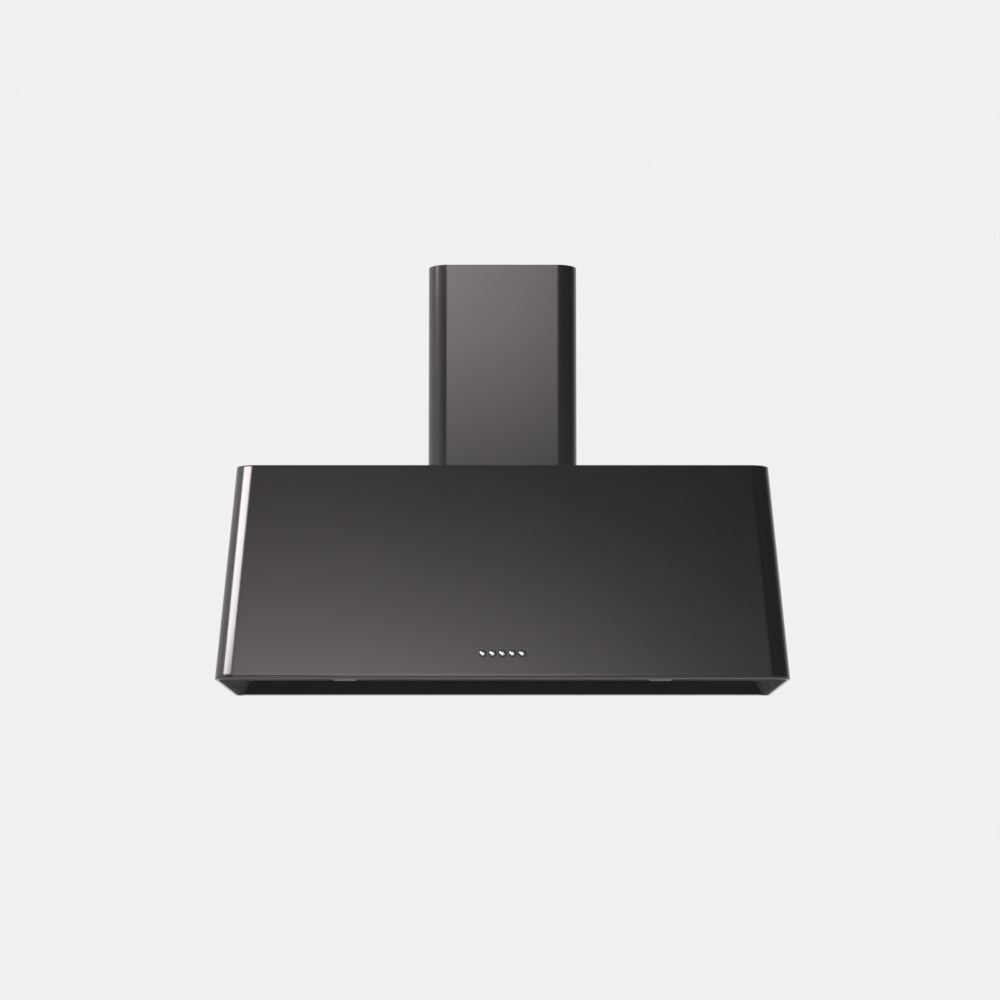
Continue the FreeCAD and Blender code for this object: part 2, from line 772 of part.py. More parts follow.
def filter_baffles(name, side):
    """Two interlocking rows of channels: troughs below, and inverted ones that dip into them."""
    body = piece(f"filter_baffles_{name}", f"{side} * {FILTER_PITCH}", FILTER_Y, FILTER_LEVEL)
    room = f"({FILTER_WIDTH} - 2 * filter_sheet - 4 * seat_gap)"
    count = f"(floor(({room} - baffle_width) / baffle_pitch) + 1)"
    first = f"(-({count} - 1) * baffle_pitch / 2)"
    run = f"({FILTER_DEPTH} - filter_header - filter_sheet - 2 * seat_gap)"
    centre = f"((filter_header - filter_sheet) / 2)"
    base = "(filter_sheet + seat_gap)"
    lower = draw(body, "XZ", [trough(first, base, f"({base} + baffle_flange)", 1)], f"-{centre}")
    repeat_along(body, pad(body, lower, run, middle=True), lower, "baffle_pitch", count)
    top = "(filter_thick - filter_sheet - seat_gap)"
    shifted = f"({first} + baffle_pitch / 2)"
    upper = draw(body, "XZ", [trough(shifted, top, f"({top} - baffle_flange)", -1)], f"-{centre}")
    repeat_along(body, pad(body, upper, run, middle=True), upper, "baffle_pitch", f"{count} - 1")
    return body


def trough(middle, floor, rim, up):
    """The section of one baffle channel, from its floor to the rims of its two flanges."""
    half = "(baffle_width / 2)"
    inside = f"({half} - baffle_sheet)"
    return [
        (f"{middle} - {half}", rim),
        (f"{middle} - {half}", floor),
        (f"{middle} + {half}", floor),
        (f"{middle} + {half}", rim),
        (f"{middle} + {inside}", rim),
        (f"{middle} + {inside}", f"{floor} + {up} * baffle_sheet"),
        (f"{middle} - {inside}", f"{floor} + {up} * baffle_sheet"),
        (f"{middle} - {inside}", rim),
    ]


def filter_latch(name, side):
    """A sliding latch: a tongue into the neck's slot, and a handle with a finger lip below."""
    body = piece(f"filter_latch_{name}", f"{side} * {FILTER_PITCH}", FILTER_Y, FILTER_LEVEL)
    front = f"(-{FILTER_DEPTH} / 2)"
    tip = f"({front} - filter_front_gap - sheet - latch_bite)"
    stem = f"({front} + latch_stem_at)"
    tongue = [
        (tip, "tongue_low"),
        (stem, "tongue_low"),
        (stem, "-seat_gap"),
        (f"{stem} + latch_stem_depth", "-seat_gap"),
        (f"{stem} + latch_stem_depth", "tongue_low"),
        (f"{front} + tongue_tail", "tongue_low"),
        (f"{front} + tongue_tail", "tongue_low + tongue_thick"),
        (f"{tip} + latch_edge", "tongue_low + tongue_thick"),
        (tip, "tongue_low + tongue_thick - latch_edge"),
    ]
    pad(body, draw(body, "YZ", [tongue]), "tongue_width", middle=True)
    start = f"({front} + latch_set_back)"
    back = f"({start} + latch_handle_depth)"
    lip = f"({back} - latch_handle_thick)"
    low = "(-seat_gap - latch_handle_thick)"
    foot = f"({low} - latch_finger_drop)"
    handle = [
        (start, "-seat_gap"),
        (start, f"{low} + latch_edge"),
        (f"{start} + latch_edge", low),
        (lip, low),
        (lip, f"{foot} + latch_edge"),
        (f"{lip} + latch_edge", foot),
        (f"{back} - latch_edge", foot),
        (back, f"{foot} + latch_edge"),
        (back, "-seat_gap"),
    ]
    pad(body, draw(body, "YZ", [handle]), "latch_handle_width", middle=True)
    return body


# ---------------------------------------------------------------- push buttons

def button_x(number):
    """A button's place along the row, from the row's middle."""
    return f"({number - (BUTTON_COUNT - 1) / 2} * button_pitch)"


def button(number):
    """A round cap with an eased edge, on a stem that works the switch behind it."""
    body = piece(f"button_{number + 1}", button_x(number), PANEL_Y, "button_height", PANEL_TILT)
    profile = [
        ("0", "-(button_skirt + stem_length)"),
        ("stem_radius", "-(button_skirt + stem_length)"),
        ("stem_radius", "-button_skirt"),
        ("button_radius", "-button_skirt"),
        ("button_radius", "button_proud - button_edge"),
        ("button_radius - button_edge", "button_proud", "button_edge", 1),
        ("0", "button_proud"),
    ]
    revolve(body, draw(body, "XZ", [profile]))
    return body


def button_bezels():
    """The five dark rings that line the button holes, each with a thin flange on the panel."""
    body = piece("button_bezels", "0", PANEL_Y, "button_height", PANEL_TILT)
    places = [button_x(number) for number in range(BUTTON_COUNT)]
    rings = [circle(x, "0", f"{BEZEL_OUTER} + bezel_flange") for x in places]
    pad(body, draw(body, "XY", rings), "bezel_proud")
    tubes = [circle(x, "0", BEZEL_OUTER) for x in places]
    pad(body, draw(body, "XY", tubes), "button_skirt", backward=True)
    bores = [circle(x, "0", BEZEL_BORE) for x in places]
    pocket(body, draw(body, "XY", bores), "3 * button_skirt", middle=True)
    return body


def switch_housing():
    """The moulded switch block behind the panel, bored for the buttons and their stems."""
    body = piece("switch_housing", "0", PANEL_Y, "button_height", PANEL_TILT)
    front = f"(-{PANEL_INNER} - seat_gap)"
    half = "(switch_width / 2)"
    tall = "(switch_height / 2)"
    block = draw(body, "XY", [rectangle(f"-{half}", half, f"-{tall}", tall)], front)
    pad(body, block, "switch_depth", backward=True)
    places = [button_x(number) for number in range(BUTTON_COUNT)]
    mouths = [circle(x, "0", f"{BEZEL_OUTER} + seat_gap") for x in places]
    pocket(body, draw(body, "XY", mouths), "button_skirt + 2 * button_travel", forward=False)
    stems = [circle(x, "0", "stem_radius + button_gap") for x in places]
    pocket(body, draw(body, "XY", stems), "button_skirt + stem_length + 2 * button_travel", forward=False)
    return body


def indicator_lens():
    """The small round pilot lens beside the row of buttons."""
    body = piece("indicator_lens", "indicator_offset", PANEL_Y, "button_height", PANEL_TILT)
    lens = draw(body, "XY", [circle("0", "-indicator_drop", "indicator_radius")], f"-{PANEL_INNER}")
    pad(body, lens, f"{PANEL_INNER} + bezel_proud / 2")
    return body


# ---------------------------------------------------------------- chimney

def chimney_wrap(body, side, front, corner, rear, height):
    """A sheet folded round three sides, with round front corners and returns at the wall."""
    inner_corner = f"({corner} - sheet)"
    outline = [
        (f"-{side}", rear),
        (f"-{side}", f"-({front} - {corner})"),
        (f"-({side} - {corner})", f"-{front}", corner, 1),
        (f"{side} - {corner}", f"-{front}"),
        (side, f"-({front} - {corner})", corner, 1),
        (side, rear),
        (f"{side} - chimney_return", rear),
        (f"{side} - chimney_return", f"{rear} - sheet"),
        (f"{side} - sheet", f"{rear} - sheet"),
        (f"{side} - sheet", f"-({front} - {corner})"),
        (f"{side} - {corner}", f"-({front} - sheet)", inner_corner, -1),
        (f"-({side} - {corner})", f"-({front} - sheet)"),
        (f"-({side} - sheet)", f"-({front} - {corner})", inner_corner, -1),
        (f"-({side} - sheet)", f"{rear} - sheet"),
        (f"-({side} - chimney_return)", f"{rear} - sheet"),
        (f"-({side} - chimney_return)", rear),
    ]
    pad(body, draw(body, "XY", [outline]), height)


def chimney_cover():
    """The outer cover. Its in-turned foot stands on the canopy's top plate."""
    body = piece("chimney_cover", z="canopy_height")
    side = "(chimney_width / 2)"
    chimney_wrap(body, side, "chimney_depth", "chimney_corner", "0", "chimney_height")
    foot_side = f"({side} - sheet)"
    inner_side = f"({foot_side} - chimney_foot)"
    feet = [
        rectangle(f"-{foot_side}", f"-{inner_side}", "-(chimney_depth - chimney_corner)", "-chimney_corner"),
        rectangle(inner_side, foot_side, "-(chimney_depth - chimney_corner)", "-chimney_corner"),
    ]
    pad(body, draw(body, "XY", feet), "sheet")
    pocket(body, draw(body, "XY", screw_holes(chimney_screw_places())), "sheet")
    return body


def chimney_sleeve():
    """The inner, telescopic section. It stands on the outer cover's foot when it is down."""
    body = piece("chimney_sleeve", z="canopy_height + sheet + seat_gap")
    side = "(chimney_width / 2 - sheet - sleeve_gap)"
    front = "(chimney_depth - sheet - sleeve_gap)"
    corner = "(chimney_corner - sheet - sleeve_gap)"
    height = "chimney_height - sheet - seat_gap - sleeve_drop"
    chimney_wrap(body, side, front, corner, "(-sheet - sleeve_gap)", height)
    cuts = [circle(x, y, "2 * screw_head_radius") for x, y in chimney_screw_places()]
    pocket(body, draw(body, "XY", cuts), "2 * screw_head_thick")
    return body


def chimney_bracket():
    """The wall strip at the top, with offset ends that trap the returns of cover and sleeve."""
    body = piece("chimney_bracket", z=f"{CHIMNEY_TOP} - bracket_drop - bracket_height")
    ends = "(chimney_width / 2 - 2 * sheet - sleeve_gap - bracket_gap)"
    step = "(chimney_width / 2 - sheet - sleeve_gap - chimney_return - 3 * bracket_gap)"
    stand = "(2 * sheet + sleeve_gap + seat_gap)"
    outline = [
        (f"-{step}", "0"),
        (f"-{step}", f"-{stand}"),
        (f"-{ends}", f"-{stand}"),
        (f"-{ends}", f"-({stand} + bracket_sheet)"),
        (f"-({step} - bracket_sheet)", f"-({stand} + bracket_sheet)"),
        (f"-({step} - bracket_sheet)", "-bracket_sheet"),
        (f"{step} - bracket_sheet", "-bracket_sheet"),
        (f"{step} - bracket_sheet", f"-({stand} + bracket_sheet)"),
        (ends, f"-({stand} + bracket_sheet)"),
        (ends, f"-{stand}"),
        (step, f"-{stand}"),
        (step, "0"),
    ]
    pad(body, draw(body, "XY", [outline]), "bracket_height")
    places = [f"{side} * bracket_holes / 2" for side in (-1, 1)]
    holes = [circle(x, "bracket_height / 2", "hook_hole_radius") for x in places]
    pocket(body, draw(body, "XZ", holes), "bracket_sheet")
    return body


# ---------------------------------------------------------------- duct collar and flaps

def outlet_collar():
    """The duct collar on the top plate, with a stop ring and two inner bosses for the flap pin."""
    body = piece("outlet_collar", "0", COLLAR_Y, "canopy_height")
    pad(body, draw(body, "XY", [circle("0", "0", "collar_radius + collar_flange")]), "collar_wall")
    pad(body, draw(body, "XY", [circle("0", "0", "collar_radius")]), "collar_height")
    bore = "(collar_radius - collar_wall)"
    pocket(body, draw(body, "XY", [circle("0", "0", f"{bore} - stop_width")]), "collar_height")
    stop = "(flap_pin_height - knuckle_radius - seat_gap)"
    pocket(body, draw(body, "XY", [circle("0", "0", bore)], stop), "collar_height")
    pocket(body, draw(body, "XY", [circle("0", "0", bore)]), f"{stop} - collar_wall")
    for side in (-1, 1):
        inner = f"{side} * ({bore} - pivot_boss_length)"
        boss = draw(body, "YZ", [circle("0", "flap_pin_height", "pivot_boss_radius")], inner)
        pad(body, boss, "pivot_boss_length + collar_wall / 2", backward=side < 0)
    pin_holes = draw(body, "YZ", [circle("0", "flap_pin_height", "flap_pin_radius")])
    pocket(body, pin_holes, f"2 * {bore}", middle=True)
    pocket(body, draw(body, "XY", screw_holes(collar_screw_places("0"))), "collar_wall")
    return body


def flap_pin():
    """The pin between the collar's bosses that both flaps swing on."""
    body = piece("flap_pin", "0", COLLAR_Y, FLAP_LEVEL)
    length = "2 * (collar_radius - collar_wall)"
    pad(body, draw(body, "YZ", [circle("0", "0", "flap_pin_radius")]), length, middle=True)
    return body


def damper_flap(name, side):
    """A half-round backdraught flap with two knuckles that interleave with the other flap's."""
    body = piece(f"damper_flap_{name}", "0", COLLAR_Y, FLAP_LEVEL)
    radius = "(collar_radius - collar_wall - flap_gap)"
    edge = "(knuckle_radius + flap_gap)"
    half = f"sqrt({radius} ^ 2 - {edge} ^ 2)"
    if side < 0:
        outline = [(f"-{half}", f"-{edge}"), ("0", f"-{radius}", radius, 1), (half, f"-{edge}", radius, 1)]
    else:
        outline = [(half, edge), ("0", radius, radius, 1), (f"-{half}", edge, radius, 1)]
    pad(body, draw(body, "XY", [outline], "-knuckle_radius"), "flap_thick")
    for start in knuckle_starts(side):
        low, high = sorted((f"{side} * {edge}", "0"), key=lambda text: value(body, text))
        tab = rectangle(start, f"{start} + knuckle_length", low, high)
        pad(body, draw(body, "XY", [tab], "-knuckle_radius"), "flap_thick")
        pad(body, draw(body, "YZ", [circle("0", "0", "knuckle_radius")], start), "knuckle_length")
    bore = draw(body, "YZ", [circle("0", "0", "flap_pin_radius + flap_pin_clearance")])
    pocket(body, bore, "3 * collar_radius", middle=True)
    return body


def knuckle_starts(side):
    """Where each of a flap's two knuckles begins along the pin."""
    if side < 0:
        return ["(-2 * (knuckle_length + knuckle_gap))", "knuckle_gap"]
    return ["(-knuckle_length - knuckle_gap / 2)", "(knuckle_length + 2 * knuckle_gap)"]


# ---------------------------------------------------------------- blower

def scroll_loop(wall, top):
    """The scroll's outline about the shaft: three widening quarter arcs that run from the cut-off
    at the top, round the front and the bottom, to the back wall of the upright throat."""
    middle = "(-scroll_shift_back)"
    level = "(-scroll_shift_down)"
    first = f"(scroll_start + {wall})"
    second = f"(scroll_start + scroll_step + {wall})"
    third = f"(scroll_start + 2 * scroll_step + {wall})"
    tongue = f"({level} + sqrt({first} ^ 2 - {wall} ^ 2))"
    rear = f"({middle} + scroll_step + {third})"
    return [
        (f"{middle} - {wall}", top),
        (f"{middle} - {wall}", tongue),
        (f"{middle} - {first}", level, first, 1),
        (f"{middle} + scroll_step", f"{level} - {second}", second, 1),
        (rear, f"{level} + scroll_step", third, 1),
        (rear, top),
    ]


def scroll_half(name, side):
    """One half of the scroll housing: spiral wall, side plate, inlet mouth and throat flange."""
    body = piece(f"scroll_{name}", "0", BLOWER_Y, BLOWER_LEVEL)
    top = "(blower_drop - sheet)"
    pad(body, draw(body, "YZ", [scroll_loop("scroll_wall", top)]), "scroll_half_width", backward=side < 0)
    front = "(-scroll_shift_back - scroll_wall - scroll_flange)"
    rear = f"(-scroll_shift_back + {SCROLL_THROAT} + scroll_wall + scroll_flange)"
    reach = "(scroll_half_width + scroll_flange)"
    low, high = ("0", reach) if side > 0 else (f"-{reach}", "0")
    flange = draw(body, "XY", [rectangle(low, high, front, rear)], top)
    pad(body, flange, "scroll_wall", backward=True)
    inside = draw(body, "YZ", [scroll_loop("0", f"{top} + scroll_wall")])
    pocket(body, inside, "scroll_half_width - scroll_wall", forward=side > 0)
    mouth = [
        (f"{side} * scroll_half_width", "inlet_radius"),
        (f"{side} * (scroll_half_width + inlet_mouth)", "inlet_radius + inlet_mouth", "inlet_mouth", -side),
        (f"{side} * (scroll_half_width + inlet_mouth)", "inlet_radius + inlet_mouth + scroll_wall"),
        (f"{side} * scroll_half_width", "inlet_radius + inlet_mouth + scroll_wall"),
    ]
    revolve(body, draw(body, "XZ", [mouth]), "H_Axis")
    eye = draw(body, "YZ", [circle("0", "0", "inlet_radius")])
    pocket(body, eye, "2 * scroll_half_width", forward=side > 0)
    places = blower_screw_places(f"({COLLAR_Y} - {BLOWER_Y})", (side,))
    pocket(body, draw(body, "XY", screw_holes(places), top), "scroll_wall", forward=False)
    if side < 0:
        holes = draw(body, "YZ", screw_holes(cradle_places()), "-scroll_half_width")
        pocket(body, holes, "scroll_wall")
    return body


def cradle_places():
    """The three rubber mounts round the inlet, about the shaft."""
    circle_radius = "cradle_screw_circle"
    return [(f"{circle_radius} * cos({turn})", f"{circle_radius} * sin({turn})") for turn in CRADLE_TURNS]


def impeller():
    """A double-inlet wheel: a middle disc with a hub, forward-curved blades and two end rings."""
    body = piece("impeller", "0", BLOWER_Y, BLOWER_LEVEL)
    disc = draw(body, "YZ", [circle("0", "0", "impeller_radius - blade_chord / 2")])
    pad(body, disc, "2 * blade_thick", middle=True)
    pad(body, draw(body, "YZ", [circle("0", "0", "hub_radius")]), "2 * hub_half_length", middle=True)
    inner = "(impeller_radius - blade_chord)"
    for end in (-1, 1):
        ring = [circle("0", "0", "impeller_radius"), circle("0", "0", inner)]
        level = f"{end} * (impeller_half_width - blade_thick) - blade_thick"
        pad(body, draw(body, "YZ", ring, level), "2 * blade_thick")
    root = f"({inner} + blade_inset)"
    tip = "(impeller_radius - blade_inset)"
    section = [
        (root, "-blade_thick"),
        (tip, "blade_sweep - blade_thick", "blade_camber", 1),
        (tip, "blade_sweep"),
        (root, "0", "(blade_camber - blade_thick)", -1),
    ]
    blade = pad(body, draw(body, "YZ", [section]), "2 * (impeller_half_width - blade_thick)", middle=True)
    repeat_round(body, blade, "X_Axis", "blade_count")
    bore = draw(body, "YZ", [circle("0", "0", "shaft_radius")])
    pocket(body, bore, "3 * hub_half_length", middle=True)
    return body


def motor_shaft():
    """The shaft from the motor into the impeller's hub."""
    body = piece("motor_shaft", "0", BLOWER_Y, BLOWER_LEVEL)
    start = "(motor_edge - motor_reach)"
    section = draw(body, "YZ", [circle("0", "0", "shaft_radius")], start)
    pad(body, section, f"hub_half_length + scroll_wall - {start}")
    return body


def motor():
    """The motor in the left inlet: a round can with eased ends and a boss round the shaft."""
    body = piece("motor", "0", BLOWER_Y, BLOWER_LEVEL)
    bore = "(shaft_radius + shaft_clearance)"
    front = "(-(motor_reach - motor_length))"
    rear = "(-motor_reach)"
    profile = [
        (f"{front} + motor_edge", bore),
        (f"{front} + motor_edge", "hub_radius"),
        (front, "hub_radius"),
        (front, "motor_radius - motor_edge"),
        (f"{front} - motor_edge", "motor_radius", "motor_edge", 1),
        (f"{rear} + motor_edge", "motor_radius"),
        (rear, "motor_radius - motor_edge", "motor_edge", 1),
        (rear, "0"),
        (f"{rear} + motor_edge - slot_gap", "0"),
        (f"{rear} + motor_edge - slot_gap", bore),
    ]
    revolve(body, draw(body, "XZ", [profile]), "H_Axis")
    return body


def motor_cradle():
    """The band that grips the motor, with three arms out to the rubber mounts."""
    body = piece("motor_cradle", "0", BLOWER_Y, BLOWER_LEVEL)
    face = "(-(scroll_half_width + inlet_mouth + cradle_sheet))"
    inner = "(motor_radius + seat_gap)"
    band = [circle("0", "0", f"{inner} + cradle_sheet"), circle("0", "0", inner)]
    pad(body, draw(body, "YZ", band, face), "cradle_band", backward=True)
    tip = "cradle_screw_circle + rubber_radius"
    arm = rectangle(f"{inner} + cradle_sheet / 2", tip, "-rubber_radius", "rubber_radius")
    for turn in CRADLE_TURNS:
        made = draw(body, "YZ", [turned(arm, turn)], face)
        pad(body, made, "cradle_sheet", backward=True)
    holes = draw(body, "YZ", screw_holes(cradle_places()), face)
    pocket(body, holes, "cradle_sheet", forward=False)
    return body


def turned(loop, turn):
    """A loop of straight runs turned about the middle by an angle in degrees."""
    return [
        (f"({x}) * cos({turn}) - ({y}) * sin({turn})", f"({x}) * sin({turn}) + ({y}) * cos({turn})")
        for x, y in loop
    ]


def rubber_mounts():
    """Three rubber bushes between the scroll's side plate and the cradle's arms."""
    body = piece("rubber_mounts", "0", BLOWER_Y, BLOWER_LEVEL)
    loops = [circle(x, y, "rubber_radius") for x, y in cradle_places()]
    level = "-scroll_half_width"
    pad(body, draw(body, "YZ", loops, level), "inlet_mouth + cradle_sheet", backward=True)
    holes = draw(body, "YZ", screw_holes(cradle_places()), level)
    pocket(body, holes, "inlet_mouth + cradle_sheet", forward=False)
    return body


def motor_screws():
    """Three screws through the cradle's arms and the rubber mounts into the scroll."""
    body = piece("motor_screws", "0", BLOWER_Y, BLOWER_LEVEL)
    seat = "(-(scroll_half_width + inlet_mouth + 2 * cradle_sheet))"
    heads = [circle(x, y, "screw_head_radius") for x, y in cradle_places()]
    pad(body, draw(body, "YZ", heads, seat), "screw_head_thick", backward=True)
    shanks = [circle(x, y, "screw_radius") for x, y in cradle_places()]
    pad(body, draw(body, "YZ", shanks, seat), "inlet_mouth + 2 * cradle_sheet + scroll_wall")
    return body


# ---------------------------------------------------------------- wall fixing

def wall_hook(name, side):
    """A hook screwed to the wall: a plate with one hole, a shelf and an upturned lip."""
    body = piece(f"wall_hook_{name}", f"{side} * hook_spread / 2", "0", HOOK_LEVEL)
    section = [
        ("0", "-hook_length"),
        ("0", "0"),
        ("-hook_shelf", "0"),
        ("-hook_shelf", "-hook_lip"),
        ("-(hook_shelf - hook_plate)", "-hook_lip"),
        ("-(hook_shelf - hook_plate)", "-hook_plate"),
        ("-hook_plate", "-hook_plate"),
        ("-hook_plate", "-hook_length"),
    ]
    pad(body, draw(body, "YZ", [section]), "hook_width", middle=True)
    hole = draw(body, "XZ", [circle("0", "-hook_width", "hook_hole_radius")])
    pocket(body, hole, "hook_plate")
    return body


def hanger(name, side):
    """The angle inside the back panel that the levelling screw carries above the hook's shelf."""
    body = piece(f"hanger_{name}", f"{side} * hook_spread / 2", "-sheet", HOOK_LEVEL)
    low = "(hook_width / 2)"
    high = "(hook_width + hook_width / 2)"
    section = [
        ("0", "hook_width"),
        ("0", high),
        ("-hook_plate", high),
        ("-hook_plate", f"{low} + hook_plate"),
        ("-(hook_shelf - sheet)", f"{low} + hook_plate"),
        ("-(hook_shelf - sheet)", low),
        ("-hook_plate / 2", low),
        ("-hook_plate / 2", "hook_width"),
    ]
    pad(body, draw(body, "YZ", [section]), "hook_width + 4 * hook_window_gap", middle=True)
    hole = draw(body, "XY", [circle("0", "-hook_shelf / 2", "level_screw_radius + hole_gap")], low)
    pocket(body, hole, "hook_plate")
    return body


def levelling_screws():
    """Two screws that stand on the hooks' shelves and carry the hangers on their nuts."""
    body = piece("levelling_screws", "0", "-sheet - hook_shelf / 2", HOOK_LEVEL)
    places = [f"{side} * hook_spread / 2" for side in (-1, 1)]
    shanks = [circle(x, "0", "level_screw_radius") for x in places]
    pad(body, draw(body, "XY", shanks, "seat_gap"), "hook_width")
    nuts = [circle(x, "0", "level_nut_radius") for x in places]
    pad(body, draw(body, "XY", nuts, "hook_width / 2 - level_nut_thick - seat_gap"), "level_nut_thick")
    return body


# ---------------------------------------------------------------- electrical pieces

def control_box():
    """The open tray on the back panel that holds the control board."""
    body = piece("control_box", "box_offset", "-sheet", "box_level")
    half = "(box_width / 2)"
    pad(body, draw(body, "XZ", [rectangle(f"-{half}", half, "0", "box_height")]), "box_depth")
    inside = rectangle(f"-{half} + box_wall", f"{half} - box_wall", "box_wall", "box_height - box_wall")
    pocket(body, draw(body, "XZ", [inside], "box_wall"), "box_depth")
    return body


def control_box_lid():
    """The lid on the tray's open side, with a lip that fits inside its walls."""
    body = piece("control_box_lid", "box_offset", "-sheet - box_depth", "box_level")
    half = "(box_width / 2)"
    pad(body, draw(body, "XZ", [rectangle(f"-{half}", half, "0", "box_height")]), "box_wall")
    loops = []
    for rim in ("(box_wall + seat_gap)", "(2 * box_wall + seat_gap)"):
        loops.append(rectangle(f"-{half} + {rim}", f"{half} - {rim}", rim, f"box_height - {rim}"))
    pad(body, draw(body, "XZ", loops), "2 * box_wall", backward=True)
    return body


def control_board():
    """The circuit board on its posts, with relays, a transformer and a terminal row."""
    body = piece("control_board", "box_offset", "-sheet - box_wall", "box_level")
    margin = "(box_wall + board_margin)"
    half = f"(box_width / 2 - {margin})"
    tall = f"(box_height - 2 * {margin})"
    outline = rectangle(f"-{half}", half, margin, f"{margin} + {tall}")
    pad(body, draw(body, "XZ", [outline], "board_rise"), "board_thick")
    posts = [
        circle(f"{side} * ({half} - board_rise)", f"{margin} + {level}", "board_post_radius")
        for side in (-1, 1) for level in ("board_rise", f"{tall} - board_rise")
    ]
    pad(body, draw(body, "XZ", posts), "board_rise")
    for left, right, low, high, rise in BOARD_PARTS:
        level = f"({margin} + {low} * {tall})"
        top = f"({margin} + {high} * {tall})"
        block = rectangle(f"{left} * {half}", f"{right} * {half}", level, top)
        pad(body, draw(body, "XZ", [block], "board_rise + board_thick"), f"{rise} * box_depth")
    return body


def capacitor():
    """The motor's run capacitor, a can with a rounded end and a terminal cap."""
    body = piece("capacitor", "capacitor_offset", CAPACITOR_Y, "capacitor_level")
    profile = [
        ("0", "0"),
        ("capacitor_radius - capacitor_edge", "0"),
        ("capacitor_radius", "capacitor_edge", "capacitor_edge", 1),
        ("capacitor_radius", "capacitor_length - capacitor_cap"),
        ("capacitor_radius - 2 * capacitor_edge", "capacitor_length - capacitor_cap"),
        ("capacitor_radius - 2 * capacitor_edge", "capacitor_length"),
        ("0", "capacitor_length"),
    ]
    revolve(body, draw(body, "XZ", [profile]))
    return body


def capacitor_clip():
    """The band that holds the capacitor to the back panel."""
    body = piece("capacitor_clip", "capacitor_offset", CAPACITOR_Y, "capacitor_level")
    inner = "(capacitor_radius + seat_gap)"
    outer = "(capacitor_radius + cradle_sheet)"
    reach = "(capacitor_radius + clip_width)"
    level = "capacitor_length / 3"
    pad(body, draw(body, "XY", [circle("0", "0", outer)], level), "clip_width")
    wings = rectangle(f"-{reach}", reach, inner, outer)
    pad(body, draw(body, "XY", [wings], level), "clip_width")
    pocket(body, draw(body, "XY", [circle("0", "0", inner)], level), "clip_width")
    return body


def cable_gland():
    """The gland for the mains lead, in the top plate inside the chimney."""
    body = piece("cable_gland", "gland_offset", "-gland_behind", "canopy_height")
    upper = "(gland_length / 2)"
    profile = [
        ("gland_bore", f"-{upper}"),
        ("gland_radius - gland_shoulder", f"-{upper}"),
        ("gland_radius - gland_shoulder", "0"),
        ("gland_radius + gland_nut_edge", "0"),
        ("gland_radius + gland_nut_edge", "gland_nut_thick"),
        ("gland_radius", "gland_nut_thick"),
        ("gland_radius", f"{upper} - gland_nut_thick"),
        ("gland_radius - gland_nut_edge", upper),
        ("gland_bore", upper),
    ]
    revolve(body, draw(body, "XZ", [profile]))
    return body


# ---------------------------------------------------------------- the whole hood

def build():
    """Makes every piece of the hood."""
    canopy_shell()
    canopy_top()
    canopy_back()
    underside_liner()
    light_panel()
    for name, side in SIDES:
        lamp(name, side)
    for name, side in FILTER_SIDES:
        filter_frame(name, side)
        filter_baffles(name, side)
        filter_latch(name, side)
    for number in range(BUTTON_COUNT):
        button(number)
    button_bezels()
    switch_housing()
    indicator_lens()
    chimney_cover()
    chimney_sleeve()
    chimney_bracket()
    tail = "(sheet + screw_tail)"
    screws("chimney_screws", chimney_screw_places(), "canopy_height + sheet", f"sheet + {tail}")
    outlet_collar()
    flap_pin()
    damper_flap("front", -1)
    damper_flap("rear", 1)
    screws("collar_screws", collar_screw_places(), "canopy_height + collar_wall", f"collar_wall + {tail}")
    scroll_half("left", -1)
    scroll_half("right", 1)
    screws("blower_screws", blower_screw_places(), "canopy_height", f"scroll_wall + {tail}")
    impeller()
    motor_shaft()
    motor()
    motor_cradle()
    rubber_mounts()
    motor_screws()
    for name, side in SIDES:
        wall_hook(name, side)
        hanger(name, side)
    levelling_screws()
    control_box()
    control_box_lid()
    control_board()
    capacitor()
    capacitor_clip()
    cable_gland()


def check():
    """Stops if any object failed or any piece's shape is missing or broken."""
    for thing in doc.Objects:
        if "Invalid" in thing.State or "Error" in thing.State:
            raise RuntimeError(f"{thing.Label}: {thing.State}")
    for body in bodies():
        if body.Shape.isNull() or not body.Shape.isValid() or not body.Shape.Solids:
            raise RuntimeError(f"{body.Label}: no valid shape")


def bodies():
    """Every finished piece: the bodies, and the canopy's shell."""
    return [thing for thing in doc.Objects if thing.TypeId in ("PartDesign::Body", "Part::Feature")]


def export():
    """Writes one STEP file for each piece."""
    os.makedirs("parts", exist_ok=True)
    for body in bodies():
        body.Shape.exportStep(f"parts/{body.Label}.step")
        print(f"{body.Label}: {len(body.Shape.Solids)} solids, {body.Shape.Volume / 1000:.1f} cm3")


build()
doc.recompute()
check()
export()
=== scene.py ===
"""Dresses the wall-mounted chimney range hood: enamel, steel, chrome and the studio round it."""

import math

import bmesh
import bpy
from bpy.props import FloatProperty, FloatVectorProperty, IntProperty, PointerProperty
from mathutils import Matrix, Vector


